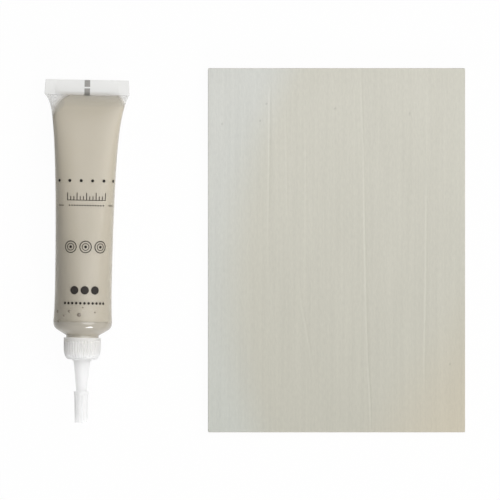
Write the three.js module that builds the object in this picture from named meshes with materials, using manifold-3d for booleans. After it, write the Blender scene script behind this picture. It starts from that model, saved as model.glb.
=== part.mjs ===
// A wood repair paste kit: a soft squeeze tube of paste lying on its side, closed by a screw-on nozzle
// with a push-on tip cap, beside a sample board that shows the colour of the paste once it is dry.
// Millimetres, +Z up. The tube lies along Y with its seal towards +Y. The origin is on the surface that
// the kit lies on, under the middle of the whole kit.
import * as THREE from "three";
import { mergeVertices } from "three/addons/utils/BufferGeometryUtils.js";
import Module from "manifold-3d";

const wasm = await Module();
wasm.setup();

// Sleeve: an extruded polyethylene tube, round at its head and pressed flat into a seal at its other end
const SLEEVE_DIAMETER = 19;
const SLEEVE_WALL = 0.45;
const BODY_LENGTH = 73.3; // from the round end to the inner line of the seal
const WAIST_PINCH = 0.85; // how much narrower the filled sleeve is part way along than at its round end
const SEAL_WIDTH = 27.6;
const SEAL_END_NARROWING = 0.7; // the cut end of the seal is this much narrower than its inner line
const SEAL_LENGTH = 5.15;
const SEAL_DROOP = 3.5; // how far the soft seal hangs below the axis of the tube
const REST_FLAT = 0.2; // how far the filled sleeve is flattened where it lies on the surface
const BELLY_SHARE = 0.55; // share of the seal's extra width that fades slowly along the belly
const BELLY_FADE = 20;
const CORNER_FADE_LEFT = 1.1; // the rest fades at the corners, and more sharply on the left
const CORNER_FADE_RIGHT = 4.8;
const GRIP_FADE = 5; // length over which the head holds the sleeve out to its full diameter

// Head: the moulded shoulder and neck, welded into the round end of the sleeve
const HEAD_WALL = 0.9;
const SKIRT_LENGTH = 2;
const SKIRT_WALL = 0.4;
const RIM_STEP = 0.3; // the rim lies this far inside the face of the sleeve
const RIM_BAND = 0.3;
const SHOULDER_ROUND = 2;
const SHOULDER_SLOPE = THREE.MathUtils.degToRad(30);
const NECK_BASE_DIAMETER = 10.5;
const NECK_BASE_LENGTH = 0.8;
const NECK_SHOW = 1; // length of the neck that shows between the shoulder and the collar
const NECK_LENGTH = 5.8;
const NECK_BORE = 6.4;
const THREAD_CORE_DIAMETER = 9.6;
const THREAD_DEPTH = 0.35;

// Paste: fills the tube up to the seal, apart from its corners
const PASTE_TOP_GAP = 0.9; // from the inner line of the seal
const PASTE_CORNER_LEFT = 4.6;
const PASTE_CORNER_RIGHT = 2;

// Collar: the ribbed nut that clamps the spout on the neck
const COLLAR_WALL = 0.7;
const COLLAR_END_WALL = 1;
const COLLAR_END_TAPER = 0.65; // how much the radius narrows towards the spout
const COLLAR_TAPER_LENGTH = 4.2;
const COLLAR_EDGE_ROUND = 0.75;
const COLLAR_RIM_ROUND = 0.25;
const COLLAR_RIM_BAND = 1.3; // plain band at the open rim, above the grooves
const COLLAR_GROOVES = 36;
const COLLAR_GROOVE_DEPTH = 0.18;

// Spout: a tapered nozzle with a flange that the collar traps
const FLANGE_THICKNESS = 0.9;
const SPOUT_BASE_DIAMETER = 5.3;
const SPOUT_TIP_DIAMETER = 2.3;
const SPOUT_LENGTH = 18.7; // from the end of the collar to the tip
const SPOUT_WALL = 0.6;
const SPOUT_FILLET = 0.5;

// Tip cap: a fluted thimble pushed over the end of the spout
const CAP_SEAT = 10.1; // length of spout that shows between the collar and the cap
const CAP_WALL = 0.48;
const CAP_END_WALL = 1.3;
const CAP_TAPER = 0.12;
const CAP_MOUTH_BAND = 0.9;
const CAP_MOUTH_STEP = 0.13;
const CAP_END_ROUND = 0.7;
const CAP_FLUTES = 10;
const CAP_FLUTE_DEPTH = 0.14;

// Sample board: a thin fibreboard with a coat of the paste brushed over its face
const BOARD_WIDTH = 83.3;
const BOARD_LENGTH = 118;
const BOARD_THICKNESS = 3;
const BOARD_CORNER = 0.5;
const COAT_THICKNESS = 0.4;
const BOARD_TURN = THREE.MathUtils.degToRad(1.065);
const BOARD_GAP = 25.2; // clear space between the seal and the board
const TUBE_OFFSET = -1.84; // the middle of the tube lies this far along Y from the middle of the board

// Clearances
const FIT_GAP = 0.3; // between pieces that are welded, filled or clamped together
const THREAD_GAP = 0.15; // between the crest of the neck's thread and the collar
const SLIDE_GAP = 0.15; // between the spout and what slides along it

// Fineness of the round forms
const SLEEVE_SIDES = 48;
const SLEEVE_STATIONS = 18;
const STATION_CROWDING = 1.7; // draws the stations together near the seal, where the form turns fast
const NOZZLE_SIDES = 40;
const CURVE_STEPS = 5;
const GIRTH_STEPS = 40;

// Levels along the axis of the tube, from the round end of the sleeve at 0
const sleeveRadius = SLEEVE_DIAMETER / 2;
const waistRadius = sleeveRadius - WAIST_PINCH / 2;
const sealHalfThickness = SLEEVE_WALL; // two walls melted into one
const restLevel = REST_FLAT - sleeveRadius;
const skirtRadius = sleeveRadius - SLEEVE_WALL - FIT_GAP;
const skirtBore = skirtRadius - SKIRT_WALL;
const rimRadius = sleeveRadius - RIM_STEP;
const rimTop = -FIT_GAP;
const neckBaseRadius = NECK_BASE_DIAMETER / 2;
const neckBore = NECK_BORE / 2;
const roundBottom = rimTop - RIM_BAND - SHOULDER_ROUND * Math.cos(SHOULDER_SLOPE);
const roundRadius = rimRadius - SHOULDER_ROUND * (1 - Math.sin(SHOULDER_SLOPE));
const coneLevel = (radius) => roundBottom - (roundRadius - radius) * Math.tan(SHOULDER_SLOPE);
const innerConeLevel = (radius) => coneLevel(radius) + HEAD_WALL / Math.cos(SHOULDER_SLOPE);
const shoulderEnd = coneLevel(neckBaseRadius);
const neckEnd = shoulderEnd - NECK_LENGTH;
const flangeTop = neckEnd - FIT_GAP;
const flangeBottom = flangeTop - FLANGE_THICKNESS;
const collarSeat = flangeBottom - FIT_GAP;
const collarEnd = collarSeat - COLLAR_END_WALL;
const collarRim = shoulderEnd - NECK_SHOW;
const collarBore = THREAD_CORE_DIAMETER / 2 + THREAD_DEPTH + THREAD_GAP;
const collarRadius = collarBore + COLLAR_WALL;
const spoutTip = collarEnd - SPOUT_LENGTH;
const capMouth = collarEnd - CAP_SEAT;
const capSeat = spoutTip - FIT_GAP;
const capEnd = capSeat - CAP_END_WALL;

// Radius of the spout's outside, which tapers evenly from the collar to the tip.
function spoutRadius(level) {
  const share = (collarEnd - level) / SPOUT_LENGTH;
  return THREE.MathUtils.lerp(SPOUT_BASE_DIAMETER, SPOUT_TIP_DIAMETER, share) / 2;
}

// Half the width of the sleeve on one side of its axis, at a distance along it from the seal.
function halfWidth(along, cornerFade) {
  const belly = BELLY_SHARE * Math.exp(-along / BELLY_FADE);
  const corner = (1 - BELLY_SHARE) * Math.exp(-along / cornerFade);
  const grip = (WAIST_PINCH / 2) * Math.exp((along - BODY_LENGTH) / GRIP_FADE);
  return waistRadius + (SEAL_WIDTH / 2 - waistRadius) * (belly + corner) + grip;
}

// Half the depth that gives an oval of this half width the girth asked for, by halving the interval.
function halfDepth(width, girth) {
  let low = 0;
  let high = 2 * width;
  for (let i = 0; i < GIRTH_STEPS; i++) {
    const depth = (low + high) / 2;
    const mean = 3 * (width + depth) - Math.sqrt((3 * width + depth) * (width + 3 * depth));
    if (Math.PI * mean < girth) low = depth;
    else high = depth;
  }
  return Math.max(low, sealHalfThickness);
}

// The sleeve's section at a distance from the seal. Its girth stays that of the sheet it was made from,
// so it deepens as it narrows, and it sinks until it lies on the surface.
function sleeveSection(along) {
  const left = halfWidth(along, CORNER_FADE_LEFT);
  const right = halfWidth(along, CORNER_FADE_RIGHT);
  const girth = THREE.MathUtils.lerp(2 * SEAL_WIDTH, Math.PI * SLEEVE_DIAMETER, along / BODY_LENGTH);
  const depth = halfDepth((left + right) / 2, girth);
  const lift = Math.max(sleeveRadius - depth, 0);
  const centre = -SEAL_DROOP * (1 - Math.exp(-lift / SEAL_DROOP));
  return { left, right, depth, centre };
}

const roundSection = (radius) => ({ left: radius, right: radius, depth: radius, centre: 0 });

// A ring of points round a section, drawn in by an inset and kept off the surface it lies on.
function ring(level, { left, right, depth, centre }, inset = 0) {
  const points = [];
  for (let i = 0; i < SLEEVE_SIDES; i++) {
    const turn = (2 * Math.PI * i) / SLEEVE_SIDES;
    const side = Math.cos(turn) < 0 ? left : right;
    const x = (side - inset) * Math.cos(turn);
    const z = centre + (depth - inset) * Math.sin(turn);
    points.push(new THREE.Vector3(x, level, Math.max(z, restLevel + inset)));
  }
  return points;
}

// A ring round the seal: flat above and below, with rounded edges.
function sealRing(level, width) {
  const edge = 3 * sealHalfThickness;
  const centre = sleeveSection(0).centre;
  const points = [];
  for (let i = 0; i < SLEEVE_SIDES; i++) {
    const turn = (2 * Math.PI * i) / SLEEVE_SIDES;
    const rise = THREE.MathUtils.clamp(edge * Math.sin(turn), -sealHalfThickness, sealHalfThickness);
    points.push(new THREE.Vector3((width / 2) * Math.cos(turn), level, centre + rise));
  }
  return points;
}

// A closed skin through a list of rings, with a cap on the first and on the last. The first ring is
// the lower one on an outer face.
function loft(rings) {
  const around = rings[0].length;
  const points = rings.flat();
  const faces = [];
  for (let i = 0; i + 1 < rings.length; i++) {
    for (let j = 0; j < around; j++) {
      const here = i * around + j;
      const beside = i * around + ((j + 1) % around);
      faces.push(here, here + around, beside, beside, here + around, beside + around);
    }
  }
  const cap = (ringIndex, order) => {
    const first = ringIndex * around;
    const middle = points.length;
    const sum = rings[ringIndex].reduce((total, p) => total.add(p), new THREE.Vector3());
    points.push(sum.divideScalar(around));
    for (let j = 0; j < around; j++) {
      const pair = [first + j, first + ((j + 1) % around)];
      faces.push(middle, pair[order], pair[1 - order]);
    }
  };
  cap(0, 0);
  cap(rings.length - 1, 1);
  return new THREE.BufferGeometry().setFromPoints(points).setIndex(faces);
}

// A solid of revolution about the axis of the tube, from an outline of radius against level.
function revolve(outline, sides) {
  return new THREE.LatheGeometry(outline.getPoints(CURVE_STEPS), sides);
}

function toManifold(geometry) {
  const bare = new THREE.BufferGeometry().setAttribute("position", geometry.getAttribute("position"));
  bare.setIndex(geometry.index);
  const merged = mergeVertices(bare);
  const vertProperties = new Float32Array(merged.getAttribute("position").array);
  const triVerts = new Uint32Array(merged.index.array);
  return new wasm.Manifold(new wasm.Mesh({ numProp: 3, vertProperties, triVerts }));
}

function toGeometry(manifold) {
  const { vertProperties, triVerts } = manifold.getMesh();
  const geometry = new THREE.BufferGeometry();
  geometry.setAttribute("position", new THREE.BufferAttribute(vertProperties, 3));
  geometry.setIndex(new THREE.BufferAttribute(triVerts, 1));
  geometry.computeVertexNormals();
  return geometry;
}

// Cuts evenly spaced V grooves along the outside of a round piece, between two levels.
function groove(geometry, { count, radius, depth, from, to }) {
  const clear = depth;
  const outside = new THREE.Shape().absarc(0, 0, radius + 3 * clear, 0, 2 * Math.PI);
  const teeth = new THREE.Path();
  const step = (2 * Math.PI) / count;
  const corners = [];
  for (let i = 0; i < count; i++) {
    corners.push([radius + clear, i * step], [radius - depth, (i + 0.5) * step]);
  }
  teeth.setFromPoints(corners.map(([r, turn]) => new THREE.Vector2(r * Math.cos(turn), r * Math.sin(turn))));
  teeth.closePath();
  outside.holes.push(teeth);
  const cutter = new THREE.ExtrudeGeometry(outside, { depth: to - from, bevelEnabled: false });
  cutter.rotateX(-Math.PI / 2).translate(0, from, 0);
  return toGeometry(toManifold(geometry).subtract(toManifold(cutter)));
}

const stations = Array.from(
  { length: SLEEVE_STATIONS + 1 },
  (_, i) => BODY_LENGTH * (i / SLEEVE_STATIONS) ** STATION_CROWDING,
);

function sleeveGeometry() {
  const inside = stations
    .slice(1)
    .map((along) => ring(BODY_LENGTH - along, sleeveSection(along), SLEEVE_WALL));
  const outside = stations
    .slice(1)
    .reverse()
    .map((along) => ring(BODY_LENGTH - along, sleeveSection(along)));
  const seal = [
    sealRing(BODY_LENGTH, SEAL_WIDTH),
    sealRing(BODY_LENGTH + SEAL_LENGTH, SEAL_WIDTH - SEAL_END_NARROWING),
  ];
  return loft([...inside, ...outside, ...seal]);
}

function headGeometry() {
  const outline = new THREE.Path();
  outline.moveTo(neckBore, neckEnd);
  outline.lineTo(THREAD_CORE_DIAMETER / 2, neckEnd);
  outline.lineTo(THREAD_CORE_DIAMETER / 2, shoulderEnd - NECK_BASE_LENGTH);
  outline.lineTo(neckBaseRadius, shoulderEnd - NECK_BASE_LENGTH);
  outline.lineTo(neckBaseRadius, shoulderEnd);
  outline.absarc(
    rimRadius - SHOULDER_ROUND,
    rimTop - RIM_BAND,
    SHOULDER_ROUND,
    SHOULDER_SLOPE - Math.PI / 2,
    0,
  );
  outline.lineTo(rimRadius, rimTop);
  outline.lineTo(skirtRadius, rimTop);
  outline.lineTo(skirtRadius, SKIRT_LENGTH);
  outline.lineTo(skirtBore, SKIRT_LENGTH);
  outline.lineTo(skirtBore, innerConeLevel(skirtBore));
  outline.lineTo(neckBore, innerConeLevel(neckBore));
  outline.closePath();
  return revolve(outline, SLEEVE_SIDES);
}

// How far a rounded corner draws the paste in from the side, at a distance from its end.
function cornerInset(radius, distance) {
  const rest = Math.max(radius - distance, 0);
  return radius - Math.sqrt(radius ** 2 - rest ** 2);
}

function pasteGeometry() {
  const gap = SLEEVE_WALL + FIT_GAP;
  const last = BODY_LENGTH - SKIRT_LENGTH - FIT_GAP;
  const within = stations.filter((along) => along > PASTE_TOP_GAP && along < last);
  const body = [PASTE_TOP_GAP, ...within, last].map((along) => {
    const section = sleeveSection(along);
    section.left -= cornerInset(PASTE_CORNER_LEFT, along - PASTE_TOP_GAP);
    section.right -= cornerInset(PASTE_CORNER_RIGHT, along - PASTE_TOP_GAP);
    return ring(BODY_LENGTH - along, section, gap);
  });
  const wide = roundSection(skirtBore - FIT_GAP);
  const narrow = roundSection(neckBore - FIT_GAP);
  const coneGap = FIT_GAP / Math.cos(SHOULDER_SLOPE);
  const throat = [
    ring(BODY_LENGTH - last, wide),
    ring(innerConeLevel(wide.left) + coneGap, wide),
    ring(innerConeLevel(narrow.left) + coneGap, narrow),
    ring(neckEnd, narrow),
  ];
  return loft([...body, ...throat].reverse());
}

function collarGeometry() {
  const hole = SPOUT_BASE_DIAMETER / 2 + SLIDE_GAP;
  const endRadius = collarRadius - COLLAR_END_TAPER;
  const outline = new THREE.Path();
  outline.moveTo(hole, collarEnd);
  outline.lineTo(endRadius - COLLAR_EDGE_ROUND, collarEnd);
  outline.quadraticCurveTo(endRadius, collarEnd, endRadius, collarEnd + COLLAR_EDGE_ROUND);
  outline.quadraticCurveTo(
    collarRadius,
    collarEnd + COLLAR_TAPER_LENGTH / 2,
    collarRadius,
    collarEnd + COLLAR_TAPER_LENGTH,
  );
  outline.lineTo(collarRadius, collarRim - COLLAR_RIM_ROUND);
  outline.lineTo(collarRadius - COLLAR_RIM_ROUND, collarRim);
  outline.lineTo(collarBore, collarRim);
  outline.lineTo(collarBore, collarSeat);
  outline.lineTo(hole, collarSeat);
  outline.closePath();
  return groove(revolve(outline, COLLAR_GROOVES), {
    count: COLLAR_GROOVES,
    radius: collarRadius,
    depth: COLLAR_GROOVE_DEPTH,
    from: collarEnd - COLLAR_END_WALL,
    to: collarRim - COLLAR_RIM_BAND,
  });
}

function spoutGeometry() {
  const outline = new THREE.Path();
  const base = SPOUT_BASE_DIAMETER / 2;
  const tipRadius = spoutRadius(spoutTip);
  const filletEnd = collarEnd - SPOUT_FILLET;
  outline.moveTo(tipRadius - SPOUT_WALL, spoutTip);
  outline.lineTo(tipRadius, spoutTip);
  outline.lineTo(spoutRadius(filletEnd), filletEnd);
  outline.lineTo(base, collarEnd);
  outline.lineTo(base, flangeBottom);
  outline.lineTo(collarBore - FIT_GAP, flangeBottom);
  outline.lineTo(collarBore - FIT_GAP, flangeTop);
  outline.lineTo(base - SPOUT_WALL, flangeTop);
  outline.lineTo(base - SPOUT_WALL, collarEnd);
  outline.closePath();
  return revolve(outline, NOZZLE_SIDES);
}

function tipCapGeometry() {
  const bore = (level) => spoutRadius(level) + SLIDE_GAP;
  const mouthRadius = bore(capMouth) + CAP_WALL;
  const bodyRadius = mouthRadius - CAP_MOUTH_STEP;
  const endRadius = bodyRadius - CAP_TAPER;
  const bandEnd = capMouth - CAP_MOUTH_BAND;
  const outline = new THREE.Path();
  outline.moveTo(0, capEnd);
  outline.lineTo(endRadius - CAP_END_ROUND, capEnd);
  outline.quadraticCurveTo(endRadius, capEnd, endRadius, capEnd + CAP_END_ROUND);
  outline.lineTo(bodyRadius, bandEnd);
  outline.lineTo(mouthRadius, bandEnd);
  outline.lineTo(mouthRadius, capMouth);
  outline.lineTo(bore(capMouth), capMouth);
  outline.lineTo(bore(capSeat), capSeat);
  outline.lineTo(0, capSeat);
  return groove(revolve(outline, NOZZLE_SIDES), {
    count: CAP_FLUTES,
    radius: bodyRadius,
    depth: CAP_FLUTE_DEPTH,
    from: capEnd - CAP_END_WALL,
    to: bandEnd,
  });
}

// The outline of the board, with its corners eased.
function boardOutline() {
  const x = BOARD_WIDTH / 2;
  const y = BOARD_LENGTH / 2;
  const r = BOARD_CORNER;
  const outline = new THREE.Shape();
  outline.absarc(x - r, y - r, r, 0, Math.PI / 2);
  outline.absarc(r - x, y - r, r, Math.PI / 2, Math.PI);
  outline.absarc(r - x, r - y, r, Math.PI, 1.5 * Math.PI);
  outline.absarc(x - r, r - y, r, 1.5 * Math.PI, 2 * Math.PI);
  return outline;
}

function boardLayer(thickness, level) {
  const layer = new THREE.ExtrudeGeometry(boardOutline(), {
    depth: thickness,
    bevelEnabled: false,
    curveSegments: CURVE_STEPS,
  });
  return layer.translate(0, 0, level);
}

const clearPlastic = new THREE.MeshStandardMaterial({
  color: 0xe2e2de,
  roughness: 0.25,
  metalness: 0,
  transparent: true,
  opacity: 0.4,
});
const pasteFinish = new THREE.MeshStandardMaterial({ color: 0xc4bbaa, roughness: 0.6, metalness: 0 });
const whitePlastic = new THREE.MeshStandardMaterial({ color: 0xefefed, roughness: 0.45, metalness: 0 });
const brushedCoat = new THREE.MeshStandardMaterial({ color: 0xcccabe, roughness: 0.5, metalness: 0 });
const fibreboard = new THREE.MeshStandardMaterial({ color: 0xa9865c, roughness: 0.9, metalness: 0 });

function piece(name, geometry, material) {
  const mesh = new THREE.Mesh(geometry, material);
  mesh.name = name;
  return mesh;
}

const tube = new THREE.Group();
tube.add(
  piece("tube_sleeve", sleeveGeometry(), clearPlastic),
  piece("tube_head", headGeometry(), clearPlastic),
  piece("paste_fill", pasteGeometry(), pasteFinish),
  piece("screw_collar", collarGeometry(), whitePlastic),
  piece("nozzle_spout", spoutGeometry(), whitePlastic),
  piece("tip_cap", tipCapGeometry(), whitePlastic),
);

const board = new THREE.Group();
board.add(
  piece("sample_board", boardLayer(BOARD_THICKNESS, 0), fibreboard),
  piece("sample_coat", boardLayer(COAT_THICKNESS, BOARD_THICKNESS), brushedCoat),
);

// The tube and the board lie side by side, and the kit's box is centred on the origin.
const boardHalfWidth = (BOARD_WIDTH * Math.cos(BOARD_TURN) + BOARD_LENGTH * Math.sin(BOARD_TURN)) / 2;
const kitHalfWidth = (SEAL_WIDTH + BOARD_GAP) / 2 + boardHalfWidth;
const tubeMiddle = (BODY_LENGTH + SEAL_LENGTH + capEnd) / 2;
tube.position.set(SEAL_WIDTH / 2 - kitHalfWidth, TUBE_OFFSET - tubeMiddle, -restLevel);
board.position.set(kitHalfWidth - boardHalfWidth, 0, 0);
board.rotation.z = BOARD_TURN;

const kit = new THREE.Group();
kit.add(tube, board);

export default kit;
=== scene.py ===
# The look of a wood repair paste kit: a clear squeeze tube of paste with a screw-on nozzle, lying beside
# a sample board. Lengths are in millimetres, in the frame's axes, until a mesh is made.
import functools
import math

import bmesh
import bpy
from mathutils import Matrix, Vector


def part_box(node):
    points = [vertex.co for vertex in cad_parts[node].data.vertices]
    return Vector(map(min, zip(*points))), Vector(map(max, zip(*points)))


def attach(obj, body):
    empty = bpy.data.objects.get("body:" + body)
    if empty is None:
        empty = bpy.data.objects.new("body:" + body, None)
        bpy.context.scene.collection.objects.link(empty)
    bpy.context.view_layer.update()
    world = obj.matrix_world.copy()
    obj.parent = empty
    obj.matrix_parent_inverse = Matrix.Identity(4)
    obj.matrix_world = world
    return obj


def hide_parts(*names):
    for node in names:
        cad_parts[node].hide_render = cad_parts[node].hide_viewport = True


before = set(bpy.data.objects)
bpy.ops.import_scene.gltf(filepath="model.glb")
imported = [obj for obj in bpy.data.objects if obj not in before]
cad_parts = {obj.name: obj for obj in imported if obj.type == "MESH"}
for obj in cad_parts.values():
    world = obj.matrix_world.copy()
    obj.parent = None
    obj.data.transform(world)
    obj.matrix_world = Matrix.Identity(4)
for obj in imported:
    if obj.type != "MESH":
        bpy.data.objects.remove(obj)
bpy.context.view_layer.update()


# Tube sleeve. A soft length of extruded low-density polyethylene, see-through but milky. Its round end
# is welded to the head, and its far end is pressed flat between hot jaws after filling. The wall is drawn
# thinner than it is, because its bending of light makes the paste look as if it reached the outside.
MM = 0.001
SLEEVE_DIAMETER = 19.0
SEAL_HALF_THICKNESS = 0.45
SEAL_SQUARENESS = 9.0
WALL_SEEN = 0.1
SEAL_LENGTH = 4.75
SEAL_END_NARROWING = 0.7
SEAL_DROOP = 3.5
WAIST_PINCH = 0.85
BELLY_SHARE = 0.62
BELLY_FADE = 20.0
CORNER_FADE_LEFT = 2.0
CORNER_FADE_RIGHT = 4.8
GRIP_FADE = 5.0
SLEEVE_SIDES = 160
SLEEVE_STATIONS = 72
STATION_CROWDING = 1.7
GIRTH_STEPS = 40
QUARTER_STEPS = 24
ROUND_POWER = 2.0
SQUARENESS = 2.6
SQUARE_FADE = 1.6
CREASE = math.radians(40)
SAME_POINT = 1e-5


def mm_box(node):
    """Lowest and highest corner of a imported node, in millimetres."""
    return [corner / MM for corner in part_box(node)]


sleeve_low, sleeve_high = mm_box("tube_sleeve")
collar_low, collar_high = mm_box("screw_collar")
axis_x = (sleeve_low.x + sleeve_high.x) / 2
axis_z = (collar_low.z + collar_high.z) / 2
round_end = sleeve_low.y
seal_line = sleeve_high.y - SEAL_LENGTH
body_length = seal_line - round_end
seal_width = sleeve_high.x - sleeve_low.x
sleeve_radius = SLEEVE_DIAMETER / 2
waist_radius = sleeve_radius - WAIST_PINCH / 2


def half_width(along, corner_fade):
    """Half the sleeve's width on one side of its axis, at a distance from the seal."""
    belly = BELLY_SHARE * math.exp(-along / BELLY_FADE)
    corner = (1 - BELLY_SHARE) * math.exp(-along / corner_fade)
    grip = WAIST_PINCH / 2 * math.exp((along - body_length) / GRIP_FADE)
    return waist_radius + (seal_width / 2 - waist_radius) * (belly + corner) + grip


def oval(power, turn):
    """A point at an angle on an oval of unit half width and half depth, squarer as its power rises."""
    x, z = math.cos(turn), math.sin(turn)
    return math.copysign(abs(x) ** (2 / power), x), math.copysign(abs(z) ** (2 / power), z)


def half_depth(width, girth, power):
    """Half the depth of an oval with this half width and girth, by halving the interval."""
    quarter = [oval(power, math.pi / 2 * i / QUARTER_STEPS) for i in range(QUARTER_STEPS + 1)]
    steps = [(b[0] - a[0], b[1] - a[1]) for a, b in zip(quarter, quarter[1:])]
    low, high = 0.0, 2 * width
    for _ in range(GIRTH_STEPS):
        depth = (low + high) / 2
        length = 4 * sum(math.hypot(width * x, depth * z) for x, z in steps)
        low, high = (depth, high) if length < girth else (low, depth)
    return max(low, SEAL_HALF_THICKNESS)


@functools.cache
def section(along):
    """Left and right half widths, half depth, middle height and squareness of the sleeve."""
    left = half_width(along, CORNER_FADE_LEFT)
    right = half_width(along, CORNER_FADE_RIGHT)
    share = along / body_length
    power = ROUND_POWER + SQUARENESS * (1 - share) ** SQUARE_FADE
    girth = 2 * seal_width * (1 - share) + math.pi * SLEEVE_DIAMETER * share
    depth = half_depth((left + right) / 2, girth, power)
    lift = max(sleeve_radius - depth, 0)
    return left, right, depth, -SEAL_DROOP * (1 - math.exp(-lift / SEAL_DROOP)), power


def on_section(shape, turn, inset=0.0):
    """The x and z of a section at an angle, drawn in by an inset and kept off the surface below."""
    left, right, depth, middle, power = shape
    x, z = oval(power, turn)
    side = left if x < 0 else right
    return axis_x + (side - inset) * x, max(axis_z + middle + (depth - inset) * z, sleeve_low.z + inset)


def ring(level, shape, inset=0.0):
    turns = [math.tau * i / SLEEVE_SIDES for i in range(SLEEVE_SIDES)]
    return [(x, level, z) for x, z in (on_section(shape, turn, inset) for turn in turns)]


def seal_ring(level, width):
    """A ring round the welded fin: flat above and below, with rounded edges."""
    points = []
    for i in range(SLEEVE_SIDES):
        turn = math.tau * i / SLEEVE_SIDES
        share = max(-1.0, min(1.0, SEAL_SQUARENESS * math.sin(turn)))
        z = axis_z + section(0)[3] + SEAL_HALF_THICKNESS * share
        points.append((axis_x + width / 2 * math.cos(turn), level, z))
    return points


def loft(rings):
    """Points and faces of a closed skin through rings, with a fan on the first and on the last."""
    around = len(rings[0])
    points = [point for each in rings for point in each]
    faces = []
    for i in range(len(rings) - 1):
        for j in range(around):
            here, beside = i * around + j, i * around + (j + 1) % around
            faces.append((here, beside, beside + around, here + around))
    for first in (0, (len(rings) - 1) * around):
        middle = sum((Vector(points[first + j]) for j in range(around)), Vector()) / around
        faces += [(len(points), first + j, first + (j + 1) % around) for j in range(around)]
        points.append(tuple(middle))
    return points, faces


def piece(name, points, faces, finish, film=0.0):
    """A mesh object from points in millimetres, smooth but for its sharp edges. A film thickens a sheet."""
    mesh = bpy.data.meshes.new(name)
    mesh.from_pydata([Vector(point) * MM for point in points], [], faces)
    form = bmesh.new()
    form.from_mesh(mesh)
    bmesh.ops.remove_doubles(form, verts=form.verts, dist=SAME_POINT * MM)
    bmesh.ops.recalc_face_normals(form, faces=form.faces)
    if film:
        bmesh.ops.solidify(form, geom=form.faces[:], thickness=film * MM)
        bmesh.ops.recalc_face_normals(form, faces=form.faces)
    form.to_mesh(mesh)
    form.free()
    mesh.materials.append(finish)
    mesh.shade_smooth()
    mesh.set_sharp_from_angle(angle=CREASE)
    made = bpy.data.objects.new(name, mesh)
    bpy.context.scene.collection.objects.link(made)
    return made


def linear(colour):
    """Linear colour with full alpha from an sRGB hex value."""
    channels = [int(colour[i : i + 2], 16) / 255 for i in (1, 3, 5)]
    return [c / 12.92 if c <= 0.04045 else ((c + 0.055) / 1.055) ** 2.4 for c in channels] + [1.0]


def add(tree, kind, inputs=None, **settings):
    """Adds a node, sets its settings, and sets or links its inputs."""
    node = tree.nodes.new(kind)
    for name, value in settings.items():
        setattr(node, name, value)
    for key, value in (inputs or {}).items():
        if isinstance(value, bpy.types.Node):
            value = value.outputs[0]
        if isinstance(value, bpy.types.NodeSocket):
            tree.links.new(value, node.inputs[key])
        else:
            node.inputs[key].default_value = value
    return node


def material(name):
    """An empty material and its node tree."""
    made = bpy.data.materials.new(name)
    made.use_nodes = True
    made.node_tree.nodes.clear()
    return made, made.node_tree


# Milky polyethylene scatters a little light, so it veils what is behind it, most of all where the eye
# looks along the wall. Towards the seal and its corners the walls close up and whiten, with a thin film of
# paste past the edge of the filling, and in the seal they are melted together. The seal's foot is painted
# darker in the middle, a paste-coloured painted shade of the crease under the fin.
PLASTIC_COLOUR = "#d8d3c8"
SEAL_COLOUR = "#f6f6f4"
FACE_VEIL = 0.06
EDGE_VEIL = 0.3
EDGE_FROM = 0.5
CORNER_VEIL = 0.22
CORNER_REACH = 6.0
CORNER_HAZE = 0.28
# A corner ring is (side, full within, gone beyond) of the haze, and a paste corner is (across, along).
CORNER_RINGS = [(-1, 5.0, 9.0), (1, 2.4, 6.0)]
WHITE_FROM = 0.3
PASTE_CORNERS = {-1: (7.2, 8.6), 1: (3.4, 4.4)}
FILM_COLOUR = "#d8d2c6"
FILM_SHARE = 0.36
FILM_INSIDE = 0.9
FILM_OUTSIDE = 1.22
SEAL_VEIL = 0.86
SEAL_BLEND = 0.3
# The seal-foot colour, share, reach and widths set a painted shade of the crease under the fin.
SEAL_FOOT_SHADE_COLOUR = "#b3ab9c"
SEAL_FOOT_SHADE_SHARE = 0.5
SEAL_FOOT_SHADE_REACH = 1.0
SEAL_FOOT_SHADE_HALF_WIDTHS = (6.5, 10.0)
SLEEVE_WAVE = 7.0
SLEEVE_WAVE_DEPTH = 0.05

clear_sleeve, tree = material("milky_polyethylene_sleeve")
spot = add(tree, "ShaderNodeTexCoord")
place = add(tree, "ShaderNodeSeparateXYZ", {0: spot.outputs["Object"]})
rim = add(tree, "ShaderNodeLayerWeight", {"Blend": 0.5})
veil = add(
    tree,
    "ShaderNodeMapRange",
    {"Value": rim.outputs["Facing"], "From Min": EDGE_FROM, "To Min": FACE_VEIL, "To Max": EDGE_VEIL},
)
closing = add(
    tree,
    "ShaderNodeMapRange",
    {
        "Value": place.outputs["Y"],
        "From Min": (seal_line - CORNER_REACH) * MM,
        "From Max": seal_line * MM,
        "To Max": CORNER_VEIL,
    },
)
welded = add(
    tree,
    "ShaderNodeMapRange",
    {
        "Value": place.outputs["Y"],
        "From Min": (seal_line - SEAL_BLEND) * MM,
        "From Max": seal_line * MM,
        "To Max": SEAL_VEIL,
    },
)
thick = add(tree, "ShaderNodeMath", {0: closing, 1: welded}, operation="MAXIMUM")
plan = add(tree, "ShaderNodeCombineXYZ", {"X": place.outputs["X"], "Y": place.outputs["Y"]})
for side, near, far in CORNER_RINGS:
    corner = ((axis_x + side * seal_width / 2) * MM, seal_line * MM, 0.0)
    apart = add(tree, "ShaderNodeVectorMath", {0: plan, 1: corner}, operation="DISTANCE")
    haze = add(
        tree,
        "ShaderNodeMapRange",
        {
            "Value": apart.outputs["Value"],
            "From Min": near * MM,
            "From Max": far * MM,
            "To Min": CORNER_HAZE,
            "To Max": 0.0,
        },
        interpolation_type="SMOOTHSTEP",
    )
    thick = add(tree, "ShaderNodeMath", {0: thick, 1: haze}, operation="MAXIMUM")
cover = add(tree, "ShaderNodeMath", {0: veil, 1: thick}, operation="MAXIMUM")
in_seal = add(tree, "ShaderNodeMath", {0: place.outputs["Y"], 1: seal_line * MM}, operation="GREATER_THAN")
film = 0.0
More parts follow.
